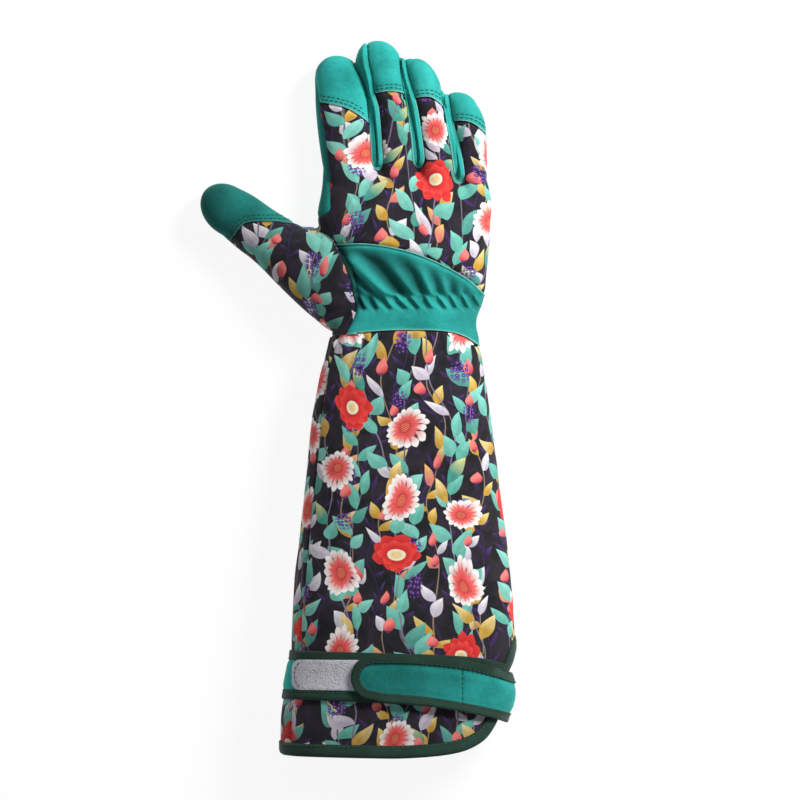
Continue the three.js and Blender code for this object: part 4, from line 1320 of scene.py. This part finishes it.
# A stem that sways up each column, with a leaf to the left and right in turn.
def leafLayer(f, u, v, under, look):
    soft = look.get("soft", softEdge)
    if "tilt" in look:
        u, v = u - v * look["tilt"], v + u * look["tilt"]
    u, v = u + look["start"][0], v + look["start"][1]
    column = (u / look["column"]).floor()
    phase = f.chances(column, look["seed"], 0.0)[0] * turnRound
    middle = (column + 0.5) * look["column"]

    def stem(at):
        return middle + (at * (turnRound / look["wave"]) + phase).sine() * look["sway"]

    line = (look["stem"] - abs(u - stem(v))).step(soft)
    result = f.mix(line, under, look["stemTint"])
    for lag in (1.0, 0.0):
        place = (v / look["spacing"]).floor() - lag
        turn, size, chance = f.chances(column, place, float(look["seed"]))
        base = place * look["spacing"]
        side = (place % 2.0) * 2.0 - 1.0
        across, up = (u - stem(base)) * side, v - base
        lean = turn * 0.6 + (look["lean"] - 0.3)
        sine, cosine = lean.sine(), lean.cosine()
        along = across * sine + up * cosine
        share = (along / (size * (0.4 * look["length"]) + 0.7 * look["length"])).most(0.0)
        off = across * cosine - up * sine - (turn - 0.5) * share * (1.0 - share) * look["curl"]
        half = ((share ** 0.72) * math.pi).sine() * (look["width"] / 2)
        mask = (half - abs(off)).over(soft) * (size > 1.0 - look["keep"])
        foot = f.picked(chance, [(at, tint) for at, tint, _ in look["colours"]])
        tip = f.picked(chance, [(at, tint) for at, _, tint in look["colours"]])
        tint = f.mix((share * 1.5 - 0.45).over(0.9), foot, tip)
        dark = (off + (turn - 0.5) * 2.0).step(0.8) * printLook["leafShadeShare"]
        result = f.mix(mask, result, f.mix(dark, tint, printLook["leafShade"]))
    return result


# Where a point lies from the middle of its cell's motif, with the cell's chances and number.
def lattice(f, u, v, look):
    start = look.get("start", (0.0, 0.0))
    u, v = u + start[0], v + start[1]
    column = (u / look["wide"]).floor()
    shifted = v + (column % 2.0) * (look["high"] / 2)
    row = (shifted / look["high"]).floor()
    chances = f.chances(column, row, float(look["seed"]))
    x = u - (column + 0.5) * look["wide"] - (chances[0] - 0.5) * look["wander"]
    y = shifted - (row + 0.5) * look["high"] - (chances[1] - 0.5) * look["wander"]
    return x, y, chances, column * 7.0 + row


def petalRing(f, radius, turn, which, under, kind, ring):
    part = turn * (ring["count"] / turnRound) + ring["shift"]
    number = part.floor()
    wild = f.chances(number, which, ring["shift"])[0]
    length = wild * (0.24 * ring["outer"]) + 0.82 * ring["outer"]
    across = abs(part - number - 0.5) * radius * (turnRound / ring["count"])
    share = ((radius - ring["inner"]) / (length - ring["inner"])).most(0.0)
    half = ((share ** ring["blunt"]) * math.pi).sine() * ring["width"] * (share < 1.0)
    fadeAt, fadeOver = ring["fade"]
    tint = f.mix((share - fadeAt).step(fadeOver), ring["tint"], ring["tip"])
    return f.mix((half - across).over(ring["soft"]) * kind, under, tint)


def printColour(f, u, v):
    look, drift = printLook, printLook["drift"]
    cloth = f.node("ShaderNodeCombineXYZ", None, {0: u, 1: v})
    u = u + (f.noise(cloth, 1 / drift["size"], 1.0) - 0.5) * (2 * drift["reach"])
    turned = f.node("ShaderNodeCombineXYZ", None, {0: v + 300.0, 1: u})
    v = v + (f.noise(turned, 1 / drift["size"], 1.0) - 0.5) * (2 * drift["reach"])
    flat = f.node("ShaderNodeCombineXYZ", None, {0: u, 1: v})
    patches = f.noise(flat, 0.07, 3.0, 0.6)
    colour = f.mix((patches - 0.5).step(0.22), *look["ground"])
    for leaves in look["leafLayers"]:
        colour = leafLayer(f, u, v, colour, leaves)

    # Round coral buds, dark where they sit in the cup.
    bud = look["buds"]
    x, y, (_, _, chance), _ = lattice(f, u, v, bud)
    share = ((y + bud["size"] / 2) / bud["size"]).most(0.0)
    half = ((share ** 0.8) * math.pi).sine() * (bud["width"] / 2) * (share < 1.0)
    mask = (half - abs(x)).over(softEdge) * (chance < bud["keep"])
    colour = f.mix(mask, colour, f.mix((share + x * 0.08 - 0.35).step(0.5), bud["tint"], bud["tip"]))
    colour = f.mix(mask * (0.16 - share).step(0.06), colour, bud["cup"])

    # Berries in loose heads.
    berry = look["berries"]
    x, y, (_, _, chance), _ = lattice(f, u, v, berry)
    beads = f.node("ShaderNodeTexVoronoi", {"voronoi_dimensions": "2D"},
                   {"Vector": flat, "Scale": berry["beads"], "Randomness": 0.45})
    cluster = (berry["size"] - (x * x + y * y * 0.7) ** 0.5).over(2.0) * (chance < berry["keep"])
    colour = f.mix(cluster * (0.42 - beads).step(0.1), colour, berry["tint"])
    colour = f.mix(cluster * (0.13 - beads).step(0.1), colour, berry["shine"])

    # Open flowers: spiky white ones with coral hearts, and red ones with cream hearts.
    flower = look["flowers"]
    x, y, (turnBy, _, chance), which = lattice(f, u, v, flower)
    radius = (x * x + y * y) ** 0.5
    turn = f.node("ShaderNodeMath", {"operation": "ARCTAN2"}, {0: y, 1: x}) + turnBy * turnRound + turnRound
    pale = chance < flower["pale"]
    for ring in look["paleRings"]:
        colour = petalRing(f, radius, turn, which, colour, pale, ring)
    heart = look["paleHeart"]
    colour = f.mix((heart["radius"] - radius).step(0.6) * pale, colour, heart["tint"])
    dots = ((x * heart["dots"]).sine() * (y * heart["dots"]).sine() - 0.3).step(0.4)
    colour = f.mix((heart["dotRadius"] - radius).step(0.6) * dots * pale, colour, heart["dotTint"])
    rich = (chance > flower["pale"]) * (chance < flower["rich"])
    for ring in look["richRings"]:
        colour = petalRing(f, radius, turn, which, colour, rich, ring)
    heart = look["richHeart"]
    radius = (x * x + y * y * heart["flat"]) ** 0.5
    colour = f.mix((heart["radius"] - radius).step(0.5) * rich, colour, heart["tint"])
    mask = (heart["ring"] - abs(radius - heart["ringAt"])).over(2.0) * (radius < heart["ringEnd"])
    return f.mix(mask * rich * heart["ringShare"], colour, heart["ringTint"]), cloth


clothLook = dict(thread=0.62, weaveDepth=0.08, wash=(0.84, 1.08), threads=(0.88, 1.08),
                 shade=paint(12, 12, 16))


def printedCloth():
    f = Finish("printedCloth")
    cloth = f.node("ShaderNodeUVMap", {"uv_map": "cloth"})
    u = f.node("ShaderNodeSeparateXYZ", None, {0: cloth})
    v = u.out("Y")
    colour, flat = printColour(f, u, v)
    colour = f.mottled(colour, f.noise(flat, 0.22, 4.0, 0.65), 0.3, 0.7, *clothLook["wash"])
    perMm = turnRound / clothLook["thread"]
    weave = (u * perMm).sine() * (v * perMm).sine()
    grain = f.noise(flat, 1.6, 2.0)
    # Painted shade, as far as each point's value gives.
    colour = f.mix(f.value("tone"), colour, clothLook["shade"])
    threads = weave * 0.05 + (grain - 0.5) * 0.16 + 0.5
    colour = f.mottled(colour, threads, 0.35, 0.65, *clothLook["threads"])
    return f.close(Base_Color=colour, Roughness=0.86, Specular_IOR_Level=0.25, Sheen_Weight=0.08,
                   Sheen_Roughness=0.5, Normal=f.bump(weave * 0.5 + grain, clothLook["weaveDepth"]))


def lining():
    f = Finish("lining")
    cells, broad = f.noise(f.place(), 900.0, 2.0), f.noise(f.place(), 40.0, 3.0)
    colour = f.blended(cells * 0.6 + broad * 0.4, (0.3, paint(120, 122, 122)), (0.7, paint(166, 168, 166)))
    return f.close(Base_Color=colour, Roughness=0.95, Normal=f.bump(cells, 0.15))


# Napped leather. A painted highlight runs along its raw edge, where the cut side catches the light, and the
# nap is brushed lighter and darker in places.
leatherLook = dict(
    brushed=38.0, nap=700.0, napShare=0.25, napDepth=0.22,
    shade=paint(6, 52, 50),
    # The painted edge highlight: its width, share and colour.
    highlightWidth=0.55, highlightShare=0.6, highlightTint=paint(150, 208, 196),
    sheen=paint(120, 220, 205),
)


def nappedLeather(name, deep, middle, light):
    f, look = Finish(name), leatherLook
    nap = f.noise(f.place(), look["nap"], 3.0, 0.65)
    # The nap's own lighter and darker patches.
    tone = f.noise(f.place(), look["brushed"], 4.0, 0.6) * (1 - look["napShare"]) + nap * look["napShare"]
    colour = f.blended(tone, (0.3, deep), (0.5, middle), (0.72, light))
    # Painted shade, as far as each point's value gives.
    colour = f.mix(f.value("tone"), colour, look["shade"])
    edgeHighlight = (look["highlightWidth"] - f.value("edge")).step(0.4)
    colour = f.mix(edgeHighlight * look["highlightShare"], colour, look["highlightTint"])
    return f.close(Base_Color=colour, Roughness=0.9, Specular_IOR_Level=0.2, Sheen_Weight=0.35,
                   Sheen_Roughness=0.45, Sheen_Tint=look["sheen"], Normal=f.bump(nap, look["napDepth"]))


def bindingTape():
    f = Finish("bindingTape")
    ribs = f.node("ShaderNodeTexWave", {"wave_type": "BANDS", "bands_direction": "DIAGONAL"},
                  {"Vector": f.place(), "Scale": 520.0, "Distortion": 2.0, "Detail": 2.0})
    broad, fuzz = f.noise(f.place(), 90.0, 3.0), f.noise(f.place(), 1300.0, 2.0)
    colour = f.blended(broad * 0.5 + ribs * 0.2 + fuzz * 0.3,
                       (0.3, paint(16, 44, 35)), (0.7, paint(36, 70, 55)))
    # Painted shade along the tape's edges, from each point's value.
    colour = f.mix(f.value("tone"), colour, paint(6, 20, 16))
    return f.close(Base_Color=colour, Roughness=0.8, Specular_IOR_Level=0.25, Sheen_Weight=0.12,
                   Normal=f.bump(ribs * 0.5 + fuzz, 0.14))


def loopPile():
    f = Finish("loopPile")
    fuzz = f.node("ShaderNodeTexVoronoi", None, {"Vector": f.place(), "Scale": 1100.0})
    broad = f.noise(f.place(), 260.0, 3.0)
    colour = f.blended(fuzz * 0.5 + broad * 0.5, (0.2, paint(216, 215, 223)), (0.8, paint(160, 159, 169)))
    # Lighter beyond the arc of stitches, where the loops stop.
    colour = f.mix((f.value("tone") - 0.5).step(0.3) * 0.6, colour, paint(206, 206, 212))
    return f.close(Base_Color=colour, Roughness=1.0, Sheen_Weight=0.3, Normal=f.bump(fuzz * -1.0, 0.35))


def sewingThread(name, dark, light):
    f = Finish(name)
    twist = f.noise(f.place(), 1500.0, 1.0)
    colour = f.blended(twist, (0.35, dark), (0.65, light))
    return f.close(Base_Color=colour, Roughness=0.6, Normal=f.bump(twist, 0.05))


finishes = dict(
    cloth=printedCloth(), lining=lining(),
    leather=nappedLeather("tealLeather", paint(22, 128, 120), paint(40, 163, 155), paint(60, 188, 180)),
    thumb=nappedLeather("thumbLeather", paint(14, 88, 82), paint(22, 112, 105), paint(36, 134, 126)),
    suede=nappedLeather("leatherInside", paint(60, 120, 110), paint(80, 140, 130), paint(100, 158, 146)),
    tape=bindingTape(), pile=loopPile(),
    thread=sewingThread("darkThread", paint(10, 44, 36), paint(22, 66, 54)),
    tapeThread=sewingThread("greenThread", paint(26, 60, 48), paint(46, 86, 70)),
    paleThread=sewingThread("greyThread", paint(140, 142, 150), paint(176, 176, 182)),
)
report(f"finishes made, {len(finishes['cloth'].node_tree.nodes)} nodes in the printed cloth")


def setUv(piece, uv):
    layer = piece.data.uv_layers.get("cloth") or piece.data.uv_layers.new(name="cloth")
    vertices = np.empty(len(piece.data.loops), int)
    piece.data.loops.foreach_get("vertex_index", vertices)
    layer.data.foreach_set("uv", uv[vertices].ravel())


# Lays a piece of cloth flat, in its true size and turned as the piece lies from above. Each triangle
# is drawn towards its own shape, with some of the last step's speed kept.
flattening = dict(rounds=450, speedKept=0.97, spread=0.5)


def laidFlat(skin):
    count = len(skin.points)
    a, b, c = (skin.points[skin.faces[:, i]] for i in range(3))
    base = np.linalg.norm(b - a, axis=1)
    top = ((c - a) * (b - a)).sum(1) / base + 1j * np.linalg.norm(np.cross(b - a, c - a), axis=1) / base
    own = np.stack([base, top - base, -top], 1)
    first, second = skin.faces.ravel(), np.roll(skin.faces, -1, axis=1).ravel()
    uses = np.bincount(first, minlength=count) + np.bincount(second, minlength=count)
    # Steep sides start turned out.
    out = flattening["spread"] * (skin.z.max() - skin.z) * ramp(-skin.normal[:, 2], -0.5, 0)
    flat = skin.x + 1j * skin.y + out * (skin.normal[:, 0] + 1j * skin.normal[:, 1])
    before = flat
    for _ in range(flattening["rounds"]):
        edges = (flat[second] - flat[first]).reshape(-1, 3)
        turn = (edges * np.conj(own)).sum(1)
        turn /= np.maximum(np.abs(turn), 1e-9)
        pull = (edges - turn[:, None] * own).ravel()
        move = (np.bincount(first, pull.real, count) - np.bincount(second, pull.real, count)
                + 1j * (np.bincount(first, pull.imag, count) - np.bincount(second, pull.imag, count)))
        flat, before = flat + move / uses + flattening["speedKept"] * (flat - before), flat
    return np.stack([flat.real, flat.imag], 1)


made = {}


# Each piece becomes an object: outer surface, wall, and the finish of each side.
def makePiece(node, name, slot, wall, outside, inside, uv=None):
    skin = pieces[node]
    piece = meshObject(name, skin.points, skin.faces)
    # Each point's edge distance goes to the finishes, and a value for painted shade, which on the loop patch
    # marks where the loops stop.
    for value, usual in (("edge", unseen), ("tone", 0.0)):
        numbers = skin.values.get(value, np.full(len(skin.points), usual)).astype(np.float32)
        piece.data.attributes.new(value, "FLOAT", "POINT").data.foreach_set("value", numbers)
    if uv is not None:
        setUv(piece, uv)
    rim = inside if outside == finishes["cloth"] else outside
    for finish in (outside, inside, rim):
        piece.data.materials.append(finish)
    applied(piece, "SOLIDIFY", thickness=wall * mm, offset=-1.0, use_rim=True, material_offset=1,
            material_offset_rim=2)
    onlySelect(piece)
    bpy.ops.object.shade_smooth_by_angle(angle=math.radians(55))
    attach(piece, "root")
    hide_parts(node)
    made[node] = piece


leather, suede, tape = finishes["leather"], finishes["suede"], finishes["tape"]
for name in ("index_cap", "middle_cap", "ring_cap", "little_cap", "wrist_band", *gussetLines):
    makePiece(name, name + "_leather", "teal_leather", sewing["leatherWall"], leather, suede)
makePiece("palm_panel", "palm_leather", "teal_leather", sewing["leatherWall"], leather, suede)
for name in ("thumb_cap", "thumb_palm"):
    makePiece(name, name + "_leather", "thumb_leather", sewing["leatherWall"], finishes["thumb"], suede)

# The printed cloths: where each was cut from the stuff, and its cut's width, length and area.
# The print breaks off at the side seams, because the cloths are cut apart.
cuts = dict(
    back_panel=dict(place=(88, -20), width=125, length=130, area=10750,
                    held="stretched", under="palm_panel"),
    thumb_back=dict(place=(-25, 98), width=85, length=91, area=4320,
                    held="stretched", under="thumb_palm"),
    sleeve_back=dict(place=(20, 0), width=146, length=258, area=32800,
                     held="gathered", under="wrist_band"),
    sleeve_palm=dict(place=(147, 61), width=200, length=258, area=39890,
                     held="gathered", under="palm_panel"),
)
for name, cut in cuts.items():
    skin = pieces[name]
    flat = np.stack([skin.arc, skin.along], 1) if name.startswith("sleeve") else laidFlat(skin)
    makePiece(name, name + "_cloth", "printed_cloth", sewing["clothWall"],
              finishes["cloth"], finishes["lining"], flat + cut["place"])
    width, length = np.ptp(flat, axis=0)
    report(f"{name} laid flat is {width:.0f} by {length:.0f} mm, {skin.area():.0f} mm2; "
           f"its cut is {cut['width']} by {cut['length']} mm, {cut['area']} mm2")
for name, slot, wall, finish in (
        ("hem_binding", "binding_tape", hemTape["wall"], tape),
        ("cuff_band", "teal_leather", cuffBand["wall"], leather),
        ("band_binding_low", "binding_tape", bandTape["wall"], tape),
        ("band_binding_high", "binding_tape", bandTape["wall"], tape),
        ("loop_patch", "loop_pile", patchLook["wall"], finishes["pile"]),
        ("strap", "teal_leather", strapShape["wall"], leather),
        ("strap_binding", "binding_tape", strapShape["tapeWall"], tape)):
    makePiece(name, name + "_soft", slot, wall, finish, finish)

for name, cut in cuts.items():
    [made["hem_binding"]] if name == "sleeve_back" else []
width, length = patchLook["cut"]

threads = dict(capRows="thread", closureRows="thread", tapeRows="tapeThread", thumbRow="paleThread")
for name, parts in stitches.items():
    counts = np.cumsum([0] + [len(points) for points, _ in parts])
    row = meshObject(name, np.vstack([points for points, _ in parts]),
                     np.vstack([faces + first for (_, faces), first in zip(parts, counts)]))
    row.data.materials.append(finishes[threads[name]])
    onlySelect(row)
    bpy.ops.object.shade_smooth()
    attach(row, "root")
report(f"{len(made)} pieces made")


# Floor, light and camera. Sizes are metres from here on, those of the lens and sensor millimetres.
stage = dict(
    floorHalf=3.0, floorLevel=-0.0004,
    floorPale=0.12, floorGlow=0.9,
    viewWide=0.4811,  # width of the view at the height of the side seams
    seamHeight=0.02,
    viewX=0.02496, viewY=-0.0003,
    lens=700.0, sensor=36.0,
    key=dict(at=(0.98, 0.9, 0.95), size=0.6, power=35.0),
    fill=dict(at=(-0.6, -0.9, 1.8), size=1.6, power=4.0),
    sky=0.2,
)


def paleFloor():
    f = Finish("paleFloor")
    plain = f.node("ShaderNodeBsdfDiffuse", None, {0: grey(stage["floorPale"])})
    glow = f.node("ShaderNodeEmission", None, {0: grey(1.0), 1: stage["floorGlow"]})
    return f.shown(f.node("ShaderNodeAddShader", None, {0: plain, 1: glow}))


bpy.ops.object.select_all(action="DESELECT")
bpy.ops.mesh.primitive_plane_add(size=2 * stage["floorHalf"], location=(0, 0, stage["floorLevel"]))
floor = bpy.context.active_object
floor.name = "floor"
floor.data.materials.append(paleFloor())

for name in ("key", "fill"):
    look = stage[name]
    light = bpy.data.lights.new(name + "Light", "AREA")
    light.shape, light.size, light.energy = "DISK", look["size"], look["power"]
    lamp = bpy.data.objects.new(name + "Light", light)
    lamp.location = look["at"]
    lamp.rotation_euler = (-Vector(look["at"])).to_track_quat("-Z", "Y").to_euler()
    bpy.context.collection.objects.link(lamp)

world = bpy.data.worlds.new("softSky")
world.use_nodes = True
sky = world.node_tree.nodes["Background"].inputs
sky[0].default_value, sky[1].default_value = grey(1.0), stage["sky"]
bpy.context.scene.world = world
bpy.context.scene.view_settings.view_transform = "Standard"

camera = bpy.data.objects.new("camera", bpy.data.cameras.new("camera"))
camera.data.lens, camera.data.sensor_width = stage["lens"], stage["sensor"]
away = stage["viewWide"] * stage["lens"] / stage["sensor"]
camera.location = (stage["viewX"], stage["viewY"], away + stage["seamHeight"])
camera.data.clip_start, camera.data.clip_end = 0.1, 20.0
bpy.context.collection.objects.link(camera)
bpy.context.scene.camera = camera

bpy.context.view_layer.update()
report("scene ready")
